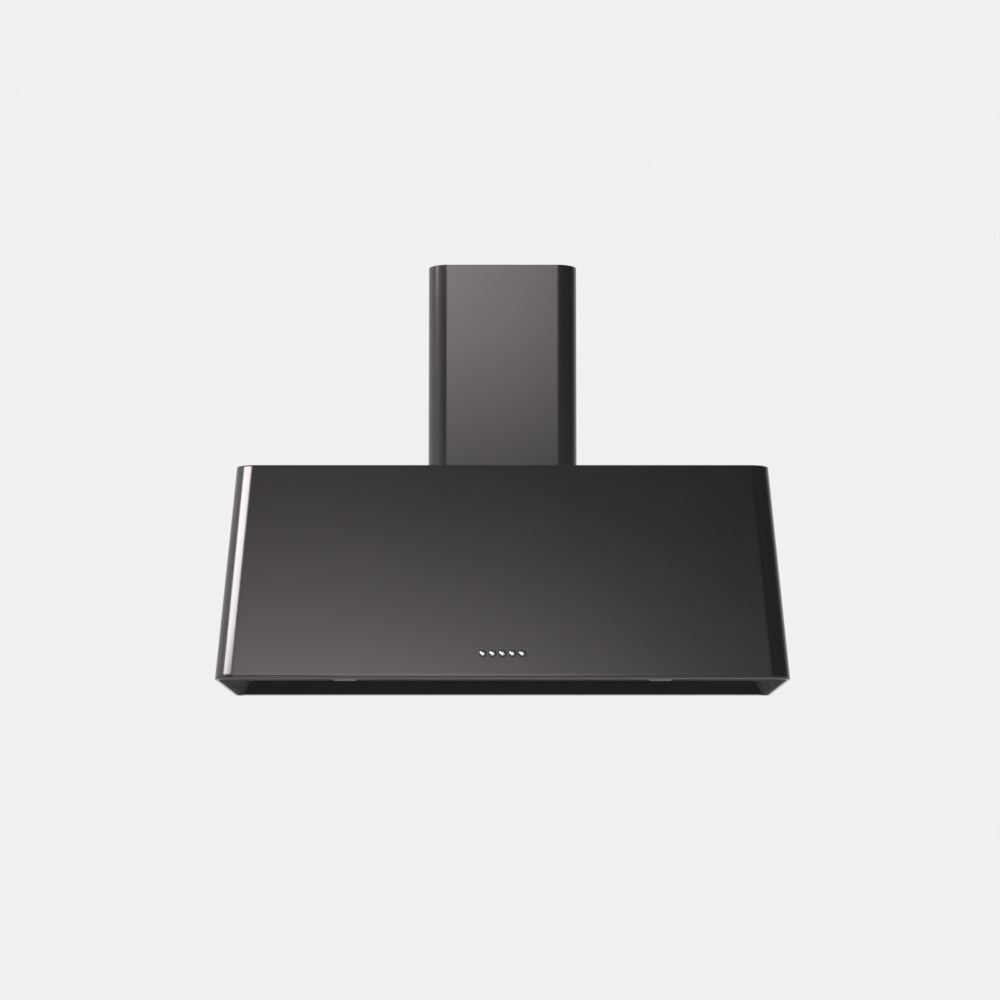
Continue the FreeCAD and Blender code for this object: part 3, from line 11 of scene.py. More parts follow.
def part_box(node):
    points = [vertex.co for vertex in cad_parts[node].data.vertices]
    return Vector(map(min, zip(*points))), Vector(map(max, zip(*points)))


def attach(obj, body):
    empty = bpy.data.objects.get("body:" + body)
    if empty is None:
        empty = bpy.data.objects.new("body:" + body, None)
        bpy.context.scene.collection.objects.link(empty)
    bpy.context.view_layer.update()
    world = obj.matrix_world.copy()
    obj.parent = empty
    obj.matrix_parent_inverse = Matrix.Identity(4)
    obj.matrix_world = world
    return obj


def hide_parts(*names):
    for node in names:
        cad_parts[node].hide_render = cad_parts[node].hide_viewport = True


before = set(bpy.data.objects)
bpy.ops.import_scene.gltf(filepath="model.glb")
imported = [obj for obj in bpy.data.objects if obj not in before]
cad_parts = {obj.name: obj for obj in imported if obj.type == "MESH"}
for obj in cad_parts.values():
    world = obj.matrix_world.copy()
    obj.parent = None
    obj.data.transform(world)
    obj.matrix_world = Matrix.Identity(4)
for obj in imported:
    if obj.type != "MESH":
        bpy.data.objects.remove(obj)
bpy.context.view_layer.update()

bl_info = {
    "name": "Chimney Range Hood",
    "version": (1, 0, 0),
    "blender": (4, 5, 0),
    "location": "View3D > Sidebar > Range Hood",
    "description": "Builds the enamelled canopy, chimney, buttons, filters and working parts of a range hood",
    "category": "Object",
}

MM = 0.001

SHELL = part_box("canopy_shell")
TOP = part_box("canopy_top")
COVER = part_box("chimney_cover")
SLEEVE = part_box("chimney_sleeve")
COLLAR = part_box("outlet_collar")
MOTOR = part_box("motor")
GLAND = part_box("cable_gland")
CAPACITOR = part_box("capacitor")

CANOPY_HALF = (SHELL[1].x, TOP[1].x)
CANOPY_DEPTH = (-SHELL[0].y, -TOP[0].y)
CANOPY_TOP = TOP[0].z
SIDES = ("left", "right")
FILTERS = ("left", "centre", "right")
BUTTONS = (1, 2, 3, 4, 5)
UP, SIDEWAYS = Vector((0, 0, 1)), Vector((1, 0, 0))

WELD = 2e-6
HOLE_REACH = 6 * MM
SCREW_HOLE = 2.2 * MM
SCREW_HEAD, SCREW_SHANK = 4, 2
BUTTON_HOLE = 7.4 * MM
PILOT_HOLE, PILOT_DROP = 1.8 * MM, 5 * MM
DUCT_HOLE, GLAND_HOLE = 73.5 * MM, 7.2 * MM
DRIVER_HOLE = 8 * MM
CHIMNEY_RETURN = 12 * MM
CREASE_BEND = 13.6 * MM
CREASE_END = 4.5 * MM
HEM = 5 * MM
BAFFLE_SHEET, BAFFLE_BEND = 0.8 * MM, 2.4 * MM


# ---------------------------------------------------------------- settings


class SheetSizes(bpy.types.PropertyGroup):
    """Sizes of the folded sheet that show"""

    thick: FloatProperty(
        name="Sheet thickness", description="Thickness of the enamelled sheet",
        default=0.0012, unit="LENGTH")
    corner: FloatProperty(
        name="Corner radius", description="Radius of the upright front corners",
        default=0.043, unit="LENGTH")
    corner_steps: IntProperty(
        name="Corner steps", description="Flat strips round each upright corner",
        default=28, min=6, max=96)
    fold: FloatProperty(
        name="Fold radius", description="Outer radius of the folds along the rim",
        default=0.0017, unit="LENGTH")
    lip: FloatProperty(
        name="Lip height", description="Height of the upright lip along the rim",
        default=0.007, unit="LENGTH")
    flange: FloatProperty(
        name="Rim flange", description="Width of the flange turned in under the rim",
        default=0.020, unit="LENGTH")
    row_level: FloatProperty(
        name="Button row", description="Height of the row of buttons above the rim",
        default=0.054, unit="LENGTH")


class Finishes(bpy.types.PropertyGroup):
    """Colours and gloss of the hood's finishes"""

    enamel: FloatVectorProperty(
        name="Enamel", description="Colour of the canopy and the chimney",
        subtype="COLOR", default=(0.0185, 0.0158, 0.0160), min=0, max=1)
    enamel_gloss: FloatProperty(
        name="Enamel roughness", description="Lower is glossier",
        subtype="FACTOR", default=0.19, min=0, max=1)
    liner: FloatVectorProperty(
        name="Liner enamel", description="Colour of the recess under the canopy",
        subtype="COLOR", default=(0.043, 0.041, 0.0415), min=0, max=1)
    zinc: FloatVectorProperty(
        name="Zinc", description="Colour of the galvanised sheet",
        subtype="COLOR", default=(0.48, 0.49, 0.50), min=0, max=1)
    steel: FloatVectorProperty(
        name="Steel", description="Colour of the brushed steel filters",
        subtype="COLOR", default=(0.56, 0.555, 0.54), min=0, max=1)
    plastic: FloatVectorProperty(
        name="Black moulding", description="Colour of the black mouldings",
        subtype="COLOR", default=(0.018, 0.018, 0.019), min=0, max=1)
    casing: FloatVectorProperty(
        name="Grey moulding", description="Colour of the grey mouldings",
        subtype="COLOR", default=(0.30, 0.31, 0.32), min=0, max=1)


class Studio(bpy.types.PropertyGroup):
    """Camera, lamps and floor"""

    lens: FloatProperty(
        name="Focal length", description="Focal length of the camera in millimetres", default=105.56)
    floor: FloatProperty(
        name="Floor level", description="Height of the floor", default=-1.6, unit="LENGTH")
    backdrop: FloatProperty(
        name="Backdrop", description="Brightness of the background, where 1 is white",
        subtype="FACTOR", default=0.875, min=0, max=1)
    fill: FloatProperty(
        name="Fill light", description="Strength of the even light from all round", default=0.42)
    front_glow: FloatProperty(
        name="Front softbox", description="Brightness of the middle of the front softbox", default=3.9)
    low_glow: FloatProperty(
        name="Low softbox", description="Brightness of the middle of the low softbox", default=1.5)
    side_power: FloatProperty(
        name="Side softbox", description="Power of the softbox on the left", default=89, unit="POWER")


# ---------------------------------------------------------------- meshes


def settle(piece, body, finish, replaced=(), angle=32):
    """Gives a finished mesh its shading and finish and sets it on its body."""
    mesh = piece.data
    work = bmesh.new()
    work.from_mesh(mesh)
    bmesh.ops.triangulate(work, faces=[face for face in work.faces if len(face.verts) > 4])
    work.to_mesh(mesh)
    work.free()
    mesh.shade_smooth()
    mesh.set_sharp_from_angle(angle=math.radians(angle))
    mesh.materials.clear()
    mesh.materials.append(finishes()[finish])
    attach(piece, body)
    if replaced:
        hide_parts(*replaced)


def linked(name, work):
    """Turns a bmesh into an object in the scene."""
    mesh = bpy.data.meshes.new(name)
    work.to_mesh(mesh)
    work.free()
    piece = bpy.data.objects.new(name, mesh)
    bpy.context.scene.collection.objects.link(piece)
    return piece


def new_piece(name, work):
    """Turns a bmesh into an object, with its faces looking outwards."""
    bmesh.ops.recalc_face_normals(work, faces=work.faces)
    return linked(name, work)


def applied(piece):
    """Keeps what a piece's modifiers make of its mesh."""
    made = bpy.data.meshes.new_from_object(piece.evaluated_get(bpy.context.evaluated_depsgraph_get()))
    piece.modifiers.clear()
    piece.data = made


def carved(piece, work, crossing=False):
    """Cuts the forms in a bmesh out of a piece. Crossing forms may cut through each other."""
    cutter = new_piece(f"{piece.name}_cutter", work)
    cut = piece.modifiers.new("cut", "BOOLEAN")
    cut.operation, cut.solver, cut.object, cut.use_self = "DIFFERENCE", "EXACT", cutter, crossing
    applied(piece)
    bpy.data.objects.remove(cutter)


def skin(work, sections, caps=True, round_about=False):
    """Faces between successive closed sections of equal length, with flat ends."""
    rows = [[work.verts.new(point) for point in section] for section in sections]
    pairs = list(zip(rows, rows[1:]))
    if round_about:
        pairs.append((rows[-1], rows[0]))
    for near, far in pairs:
        for index in range(len(near)):
            after = (index + 1) % len(near)
            work.faces.new((near[index], near[after], far[after], far[index]))
    if caps and not round_about:
        work.faces.new(rows[0][::-1])
        work.faces.new(rows[-1])


def turned_profile(work, profile, place, steps=64):
    """A closed profile of (radius, height) turned about the height axis of place."""
    sections = []
    for step in range(steps):
        angle = 2 * math.pi * step / steps
        across = Vector((math.cos(angle), math.sin(angle), 0))
        sections.append([place @ (across * radius + Vector((0, 0, height))) for radius, height in profile])
    skin(work, sections, round_about=True)
    bmesh.ops.remove_doubles(work, verts=work.verts, dist=1e-7)
    flat = [face for face in work.faces if face.calc_area() < 1e-13]
    bmesh.ops.delete(work, geom=flat, context="FACES")
    bmesh.ops.delete(work, geom=[edge for edge in work.edges if not edge.link_faces], context="EDGES")


def fillet(points, radius, steps=4, closed=True):
    """The run of points with each corner rounded."""
    rounded = []
    count = len(points)
    for index, point in enumerate(points):
        corner = Vector(point)
        if not closed and index in (0, count - 1):
            rounded.append(corner)
            continue
        before, after = Vector(points[index - 1]), Vector(points[(index + 1) % count])
        back, on = (before - corner), (after - corner)
        reach = min(radius, back.length * 0.45, on.length * 0.45)
        half = back.angle(on) / 2
        size = reach * math.tan(half)
        start, end = corner + back.normalized() * reach, corner + on.normalized() * reach
        middle = corner + (back.normalized() + on.normalized()).normalized() * (size / math.sin(half))
        sweep = math.pi - 2 * half
        for step in range(steps + 1):
            share = step / steps
            blend = math.sin((1 - share) * sweep) * (start - middle)
            blend += math.sin(share * sweep) * (end - middle)
            rounded.append(middle + blend / math.sin(sweep))
    return rounded


def offset_path(path, distance):
    """An open run of plan points moved to its right by a distance."""
    moved = []
    for index, point in enumerate(path):
        before = path[max(index - 1, 0)]
        after = path[min(index + 1, len(path) - 1)]
        into = (point - before).normalized() if index else (after - point).normalized()
        out = (after - point).normalized() if index < len(path) - 1 else into
        normal_in = Vector((into.y, -into.x))
        normal_out = Vector((out.y, -out.x))
        middle = (normal_in + normal_out).normalized()
        moved.append(point + middle * (distance / max(middle.dot(normal_in), 0.2)))
    return moved


def bored(piece, places, radius, depth=HOLE_REACH, steps=48):
    """Cuts round holes through a piece: each place is a matrix whose Z is the hole's axis."""
    work = bmesh.new()
    for place in places:
        turned_profile(work, [(radius, -depth), (radius, depth), (0, depth), (0, -depth)], place, steps)
    carved(piece, work)


def eased(node, body, finish, width=0.35, steps=2, windows=False):
    """The node's own form with its edges eased; one with windows in a flat keeps smaller faces."""
    work = bmesh.new()
    work.from_mesh(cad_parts[node].data)
    bmesh.ops.remove_doubles(work, verts=work.verts, dist=WELD)
    if windows:
        bmesh.ops.join_triangles(
            work, faces=work.faces, angle_face_threshold=math.radians(0.4), angle_shape_threshold=math.pi)
    else:
        bmesh.ops.dissolve_limit(
            work, angle_limit=math.radians(0.4), use_dissolve_boundaries=False,
            verts=work.verts, edges=work.edges)
    piece = new_piece(f"{node}_eased", work)
    bevel = piece.modifiers.new("ease", "BEVEL")
    bevel.width, bevel.segments = width * MM, steps
    bevel.limit_method, bevel.angle_limit = "ANGLE", math.radians(32)
    bevel.use_clamp_overlap = True
    applied(piece)
    settle(piece, body, finish, (node,), angle=40)


# ---------------------------------------------------------------- materials


def made_once(paint):
    """Makes a finish's material when it is first asked for, and has the function paint its nodes."""
    def finish(name, *values):
        made = bpy.data.materials.get(name)
        if not made:
            made = bpy.data.materials.new(name)
            made.use_nodes = True
            paint(made.node_tree, made.node_tree.nodes["Principled BSDF"], *values)
        return made
    return finish


def place_of(tree, stretch=(1, 1, 1)):
    """Object coordinates, stretched."""
    where = tree.nodes.new("ShaderNodeTexCoord")
    spread = tree.nodes.new("ShaderNodeMapping")
    spread.inputs["Scale"].default_value = stretch
    tree.links.new(where.outputs["Object"], spread.inputs["Vector"])
    return spread.outputs["Vector"]


def noise(tree, scale, detail=3.0, roughness=0.55, stretch=(1, 1, 1)):
    """A noise pattern's value."""
    made = tree.nodes.new("ShaderNodeTexNoise")
    made.inputs["Scale"].default_value = scale
    made.inputs["Detail"].default_value = detail
    made.inputs["Roughness"].default_value = roughness
    tree.links.new(place_of(tree, stretch), made.inputs["Vector"])
    return made.outputs["Fac"]


def ranged(tree, source, low, high, start=0.3, end=0.7, smooth=False):
    """Maps a pattern onto a range of values."""
    made = tree.nodes.new("ShaderNodeMapRange")
    if smooth:
        made.interpolation_type = "SMOOTHSTEP"
    for socket, number in zip(("From Min", "From Max", "To Min", "To Max"), (start, end, low, high)):
        made.inputs[socket].default_value = number
    tree.links.new(source, made.inputs["Value"])
    return made.outputs["Result"]


def worked(tree, kind, operation, *sources):
    """The result of a Math or Vector Math node, fed by sockets or by plain values."""
    made = tree.nodes.new(f"ShaderNode{kind}")
    made.operation = operation
    for source, socket in zip(sources, made.inputs):
        if isinstance(source, bpy.types.NodeSocket):
            tree.links.new(source, socket)
        else:
            socket.default_value = source
    single = kind == "Math" or operation in ("DOT_PRODUCT", "LENGTH")
    return made.outputs["Value" if single else "Vector"]


def tinted(tree, source, dark, light):
    """Blends two tones by a pattern."""
    made = tree.nodes.new("ShaderNodeMix")
    made.data_type = "RGBA"
    made.inputs["A"].default_value = (*dark, 1)
    made.inputs["B"].default_value = (*light, 1)
    tree.links.new(source, made.inputs["Factor"])
    return made.outputs["Result"]


def bumped(tree, shader, sources):
    """Adds relief from patterns of (value, depth in metres)."""
    normal = None
    for source, depth in sources:
        made = tree.nodes.new("ShaderNodeBump")
        made.inputs["Strength"].default_value = 1.0
        made.inputs["Distance"].default_value = depth
        tree.links.new(source, made.inputs["Height"])
        if normal:
            tree.links.new(normal, made.inputs["Normal"])
        normal = made.outputs["Normal"]
    tree.links.new(normal, shader.inputs["Normal"])


def shade(colour, factor):
    """A colour made darker or lighter."""
    return tuple(min(channel * factor, 1.0) for channel in colour)


@made_once
def enamel(tree, shader, colour, gloss):
    """Baked enamel on steel: an even tone with a faint orange peel."""
    cloud = ranged(tree, noise(tree, 2.2, 4.0), 0.0, 1.0, 0.2, 0.8)
    tree.links.new(tinted(tree, cloud, shade(colour, 0.9), shade(colour, 1.1)), shader.inputs["Base Color"])
    haze = ranged(tree, noise(tree, 5.0, 5.0, 0.6), gloss - 0.02, gloss + 0.02, 0.2, 0.8)
    tree.links.new(haze, shader.inputs["Roughness"])
    shader.inputs["Specular IOR Level"].default_value = 0.8
    shader.inputs["Specular Tint"].default_value = (1.0, 0.93, 0.94, 1)
    bumped(tree, shader, [(noise(tree, 420, 2.0, 0.4), 1.5e-6), (noise(tree, 18, 2.0, 0.4), 8e-6)])


@made_once
def lacquer(tree, shader, colour):
    """Matt lacquer for the inside of the sheet, with a powdery grain."""
    cloud = ranged(tree, noise(tree, 3.5, 4.0), 0.0, 1.0, 0.2, 0.8)
    tree.links.new(tinted(tree, cloud, shade(colour, 0.85), shade(colour, 1.15)), shader.inputs["Base Color"])
    tree.links.new(ranged(tree, noise(tree, 30, 4.0), 0.62, 0.74), shader.inputs["Roughness"])
    shader.inputs["Specular IOR Level"].default_value = 0.08
    bumped(tree, shader, [(noise(tree, 700, 3.0, 0.6), 6e-6)])


@made_once
def galvanised(tree, shader, colour):
    """Zinc sheet with its soft spangle."""
    spangle = tree.nodes.new("ShaderNodeTexVoronoi")
    spangle.inputs["Scale"].default_value = 110
    tree.links.new(place_of(tree), spangle.inputs["Vector"])
    flake = tree.nodes.new("ShaderNodeSeparateColor")
    tree.links.new(spangle.outputs["Color"], flake.inputs["Color"])
    tone = flake.outputs["Red"]
    tree.links.new(tinted(tree, tone, shade(colour, 0.87), shade(colour, 1.12)), shader.inputs["Base Color"])
    tree.links.new(ranged(tree, tone, 0.38, 0.50, 0, 1), shader.inputs["Roughness"])
    shader.inputs["Metallic"].default_value = 1.0
    bumped(tree, shader, [(noise(tree, 60, 4.0), 2e-5), (noise(tree, 700, 2.0), 4e-6)])


@made_once
def brushed(tree, shader, colour, stretch, rough=0.30):
    """Steel with a fine grain along its length."""
    grain = noise(tree, 60, 6.0, 0.75, stretch)
    cloud = noise(tree, 9, 4.0)
    tone = tinted(tree, ranged(tree, grain, 0, 1), shade(colour, 0.86), shade(colour, 1.10))
    tree.links.new(tone, shader.inputs["Base Color"])
    streak, haze = ranged(tree, grain, rough - 0.05, rough + 0.05), ranged(tree, cloud, 0.0, 0.06)
    tree.links.new(worked(tree, "Math", "ADD", streak, haze), shader.inputs["Roughness"])
    shader.inputs["Metallic"].default_value = 1.0
    bumped(tree, shader, [(grain, 7e-6)])


@made_once
def chrome(tree, shader):
    """Polished plating with faint finger haze."""
    smear = noise(tree, 130, 4.0, 0.6)
    tree.links.new(tinted(tree, smear, (0.74, 0.74, 0.75), (0.86, 0.86, 0.87)), shader.inputs["Base Color"])
    tree.links.new(ranged(tree, smear, 0.05, 0.16), shader.inputs["Roughness"])
    shader.inputs["Metallic"].default_value = 1.0
    bumped(tree, shader, [(noise(tree, 900, 2.0), 1.5e-6)])


@made_once
def moulding(tree, shader, colour, rough=0.5, grain=1.2e-5):
    """Moulded plastic with a fine spark-eroded grain."""
    cloud = noise(tree, 14, 4.0)
    tree.links.new(tinted(tree, cloud, shade(colour, 0.88), shade(colour, 1.12)), shader.inputs["Base Color"])
    tree.links.new(ranged(tree, noise(tree, 40, 3.0), rough - 0.06, rough + 0.06), shader.inputs["Roughness"])
    bumped(tree, shader, [(noise(tree, 1500, 2.0), grain)])


@made_once
def cast_metal(tree, shader):
    """Blasted die-cast alloy."""
    cloud = noise(tree, 26, 5.0)
    tree.links.new(tinted(tree, cloud, (0.30, 0.31, 0.32), (0.43, 0.44, 0.45)), shader.inputs["Base Color"])
    tree.links.new(ranged(tree, noise(tree, 300, 3.0), 0.42, 0.6), shader.inputs["Roughness"])
    shader.inputs["Metallic"].default_value = 0.9
    bumped(tree, shader, [(noise(tree, 900, 3.0), 3e-5)])


@made_once
def frosted_glass(tree, shader):
    """The lamps' frosted lens, with the dimples of its back showing through."""
    cells = tree.nodes.new("ShaderNodeTexVoronoi")
    cells.inputs["Scale"].default_value = 420
    tree.links.new(place_of(tree), cells.inputs["Vector"])
    tone = tinted(tree, noise(tree, 60), (0.13, 0.14, 0.14), (0.19, 0.20, 0.20))
    tree.links.new(tone, shader.inputs["Base Color"])
    tree.links.new(ranged(tree, noise(tree, 200), 0.42, 0.56), shader.inputs["Roughness"])
    shader.inputs["Transmission Weight"].default_value = 0.75
    shader.inputs["IOR"].default_value = 1.47
    shader.inputs["Specular IOR Level"].default_value = 0
    bumped(tree, shader, [(cells.outputs["Distance"], 1.2e-4)])


@made_once
def circuit_resin(tree, shader):
    """Green solder resist with its copper runs just showing, and darker moulded parts."""
    runs = tree.nodes.new("ShaderNodeTexWave")
    runs.bands_direction = "X"
    runs.inputs["Scale"].default_value = 95
    runs.inputs["Distortion"].default_value = 3.5
    runs.inputs["Detail"].default_value = 1.0
    tree.links.new(place_of(tree), runs.inputs["Vector"])
    line = ranged(tree, runs.outputs["Fac"], 0, 1, 0.55, 0.7)
    tree.links.new(tinted(tree, line, (0.012, 0.075, 0.03), (0.03, 0.16, 0.06)), shader.inputs["Base Color"])
    tree.links.new(ranged(tree, noise(tree, 90), 0.22, 0.36), shader.inputs["Roughness"])
    bumped(tree, shader, [(line, 3e-5), (noise(tree, 400), 1e-5)])


def finishes():
    """Every finish of the hood by name."""
    chosen = bpy.context.scene.hood_finishes
    return {
        "enamel": enamel("anthracite_enamel", tuple(chosen.enamel), chosen.enamel_gloss),
        "liner": lacquer("liner_lacquer", tuple(chosen.liner)),
        "zinc": galvanised("galvanised_sheet", tuple(chosen.zinc)),
        "steel_x": brushed("frame_steel", tuple(chosen.steel), (1, 34, 34)),
        "steel_y": brushed("baffle_steel", tuple(chosen.steel), (34, 1, 34)),
        "can": brushed("drawn_can", (0.62, 0.62, 0.63), (34, 34, 1), 0.26),
        "trim": moulding("lamp_trim_lacquer", (0.014, 0.013, 0.013), 0.36, 4e-6),
        "bolt": brushed("plated_screw", (0.55, 0.55, 0.53), (9, 9, 9), 0.28),
        "chrome": chrome("button_chrome"),
        "black": moulding("black_moulding", tuple(chosen.plastic), 0.42),
        # The rings are black mouldings made darker than the others: painted shade for the shadowed gap round
        # each cap.
        "ring": moulding("bezel_moulding", (0.006, 0.006, 0.006), 0.45, 4e-6),
        "grey": moulding("grey_moulding", tuple(chosen.casing), 0.5),
        "rubber": moulding("bush_rubber", (0.02, 0.02, 0.02), 0.8, 3e-5),
        "smoked": moulding("pilot_lens_resin", (0.015, 0.012, 0.012), 0.12, 2e-6),
        "casting": cast_metal("motor_casting"),
        "glass": frosted_glass("lamp_glass"),
        "board": circuit_resin("board_resin"),
    }


def coat(node, finish):
    """Gives a node that stays as it is its finish."""
    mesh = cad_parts[node].data
    mesh.materials.clear()
    mesh.materials.append(finishes()[finish])


# ---------------------------------------------------------------- shared forms


def front_plan(half, depth, radius, rear, steps):
    """Straight sides, a straight front and two round front corners, from the left rear round."""
    hold = 1.5 * MM
    points = [Vector((-half, rear)), Vector((-half, radius - depth + hold))]
    left, right = Vector((radius - half, radius - depth)), Vector((half - radius, radius - depth))
    for centre, start in ((left, math.pi), (right, 1.5 * math.pi)):
        if start > math.pi:
            points.append(Vector((radius - half + hold, -depth)))
            points.append(Vector((half - radius - hold, -depth)))
        for step in range(steps + 1):
            angle = start + step / steps * math.pi / 2
            points.append(centre + radius * Vector((math.cos(angle), math.sin(angle))))
    points += [Vector((half, radius - depth + hold)), Vector((half, rear))]
    return points


def panel_place(x, drop=0.0):
    """A matrix on the sloping front: X along the row, Y up the slope and Z straight out."""
    sizes = bpy.context.scene.hood_sheet
    run = CANOPY_DEPTH[0] - CANOPY_DEPTH[1]
    rise = CANOPY_TOP - sizes.lip
    up = Vector((0, run, rise)).normalized()
    out = Vector((0, -rise, run)).normalized()
    middle = Vector((x, -CANOPY_DEPTH[0] + (sizes.row_level - sizes.lip) * run / rise, sizes.row_level))
    place = Matrix((SIDEWAYS, up, out)).transposed().to_4x4()
    place.translation = middle - up * drop
    return place


def canopy_reach(level):
    """The canopy's half width and depth at a level."""
    lip = bpy.context.scene.hood_sheet.lip
    share = min(max((level - lip) / (CANOPY_TOP - lip), 0), 1)
    return [low + (high - low) * share for low, high in (CANOPY_HALF, CANOPY_DEPTH)]


def upright(x, y, z=0.0):
    """A matrix for an upright hole or turned form."""
    return Matrix.Translation((x, y, z))


def middle_of(box):
    """The middle of a box given by its lowest and highest corners."""
    return (box[0] + box[1]) / 2


def wrap_sheet(name, half, depth, radius, rear, low, high, fold_back):
    """A sheet folded round three sides, with its rear edges turned in along the wall."""
    sizes = bpy.context.scene.hood_sheet
    thick = sizes.thick
    plan = front_plan(half, depth, radius, rear, sizes.corner_steps)
    bend = 2.0 * MM
    left, right = [], []
    for step in range(7):
        angle = step / 6 * math.pi / 2
        left.append(Vector((-half + bend - bend * math.sin(angle), rear - bend + bend * math.cos(angle))))
    for step in range(7):
        angle = step / 6 * math.pi / 2
        right.append(Vector((half - bend + bend * math.cos(angle), rear - bend + bend * math.sin(angle))))
    outer = [Vector((-half + fold_back, rear))] + left + plan[1:-1] + right
    outer.append(Vector((half - fold_back, rear)))
    inner = offset_path(outer, -thick)
    ease = 0.25 * MM
    sections = []
    for out, into in zip(outer, inner):
        across = (into - out)
        near, far = out + across * 0.2, out + across * 0.8
        ring = [(out, low + ease), (out, high - ease), (near, high), (far, high),
                (into, high - ease), (into, low + ease), (far, low), (near, low)]
        sections.append([Vector((point.x, point.y, level)) for point, level in ring])
    work = bmesh.new()
    skin(work, sections)
    return new_piece(name, work)


def add_turned(work, profile, place, steps):
    """Adds a form turned from a profile in millimetres, without merging it into what is there."""
    one = bmesh.new()
    turned_profile(one, [(radius * MM, height * MM) for radius, height in profile], place, steps)
    mesh = bpy.data.meshes.new("part")
    one.to_mesh(mesh)
    one.free()
    work.from_mesh(mesh)
    bpy.data.meshes.remove(mesh)


def turned_piece(name, profile, places, steps, body, finish, node, angle=40):
    """Forms turned from a profile in millimetres, as one piece in place of a node."""
    work = bmesh.new()
    for place in places:
        add_turned(work, profile, place, steps)
    settle(new_piece(name, work), body, finish, (node,), angle)


def screw_heads(node, axis=UP):
    """Pan heads with crossed slots and their shanks, in place of a group of plain screws."""
    across = UP.rotation_difference(axis).to_matrix().to_4x4()
    slot = Matrix.Diagonal((SCREW_HEAD * 1.1 * MM, 0.9 * MM, 2.2 * MM, 1))
    work, slots = bmesh.new(), bmesh.new()
    for box in solids_of(node):
        reach = abs((box[1] - box[0]).dot(axis)) / 2
        end = -2 * reach / MM
        place = across.copy()
        place.translation = middle_of(box) + axis * reach
        rim = [(0, end), (SCREW_SHANK, end), (SCREW_SHANK, -2), (SCREW_HEAD, -2), (SCREW_HEAD, -1),
               (SCREW_HEAD * 0.86, -0.35), (SCREW_HEAD * 0.5, 0), (0, 0)]
        add_turned(work, rim, place, 28)
        for turn in (0, math.pi / 2):
            bmesh.ops.create_cube(slots, size=1.0, matrix=place @ Matrix.Rotation(turn, 4, "Z") @ slot)
    piece = new_piece(f"{node}_heads", work)
    carved(piece, slots, crossing=True)
    settle(piece, "hood", "bolt", (node,))


def solids_of(node):
    """The boxes of a node's separate solids."""
    work = bmesh.new()
    work.from_mesh(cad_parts[node].data)
    bmesh.ops.remove_doubles(work, verts=work.verts, dist=WELD)
    seen, boxes = set(), []
    for start in work.verts:
        if start in seen:
            continue
        group, queue = [], [start]
        seen.add(start)
        while queue:
            vert = queue.pop()
            group.append(vert.co.copy())
            for edge in vert.link_edges:
                other = edge.other_vert(vert)
                if other not in seen:
                    seen.add(other)
                    queue.append(other)
        boxes.append((Vector(map(min, zip(*group))), Vector(map(max, zip(*group)))))
    work.free()
    return boxes


# ---------------------------------------------------------------- canopy


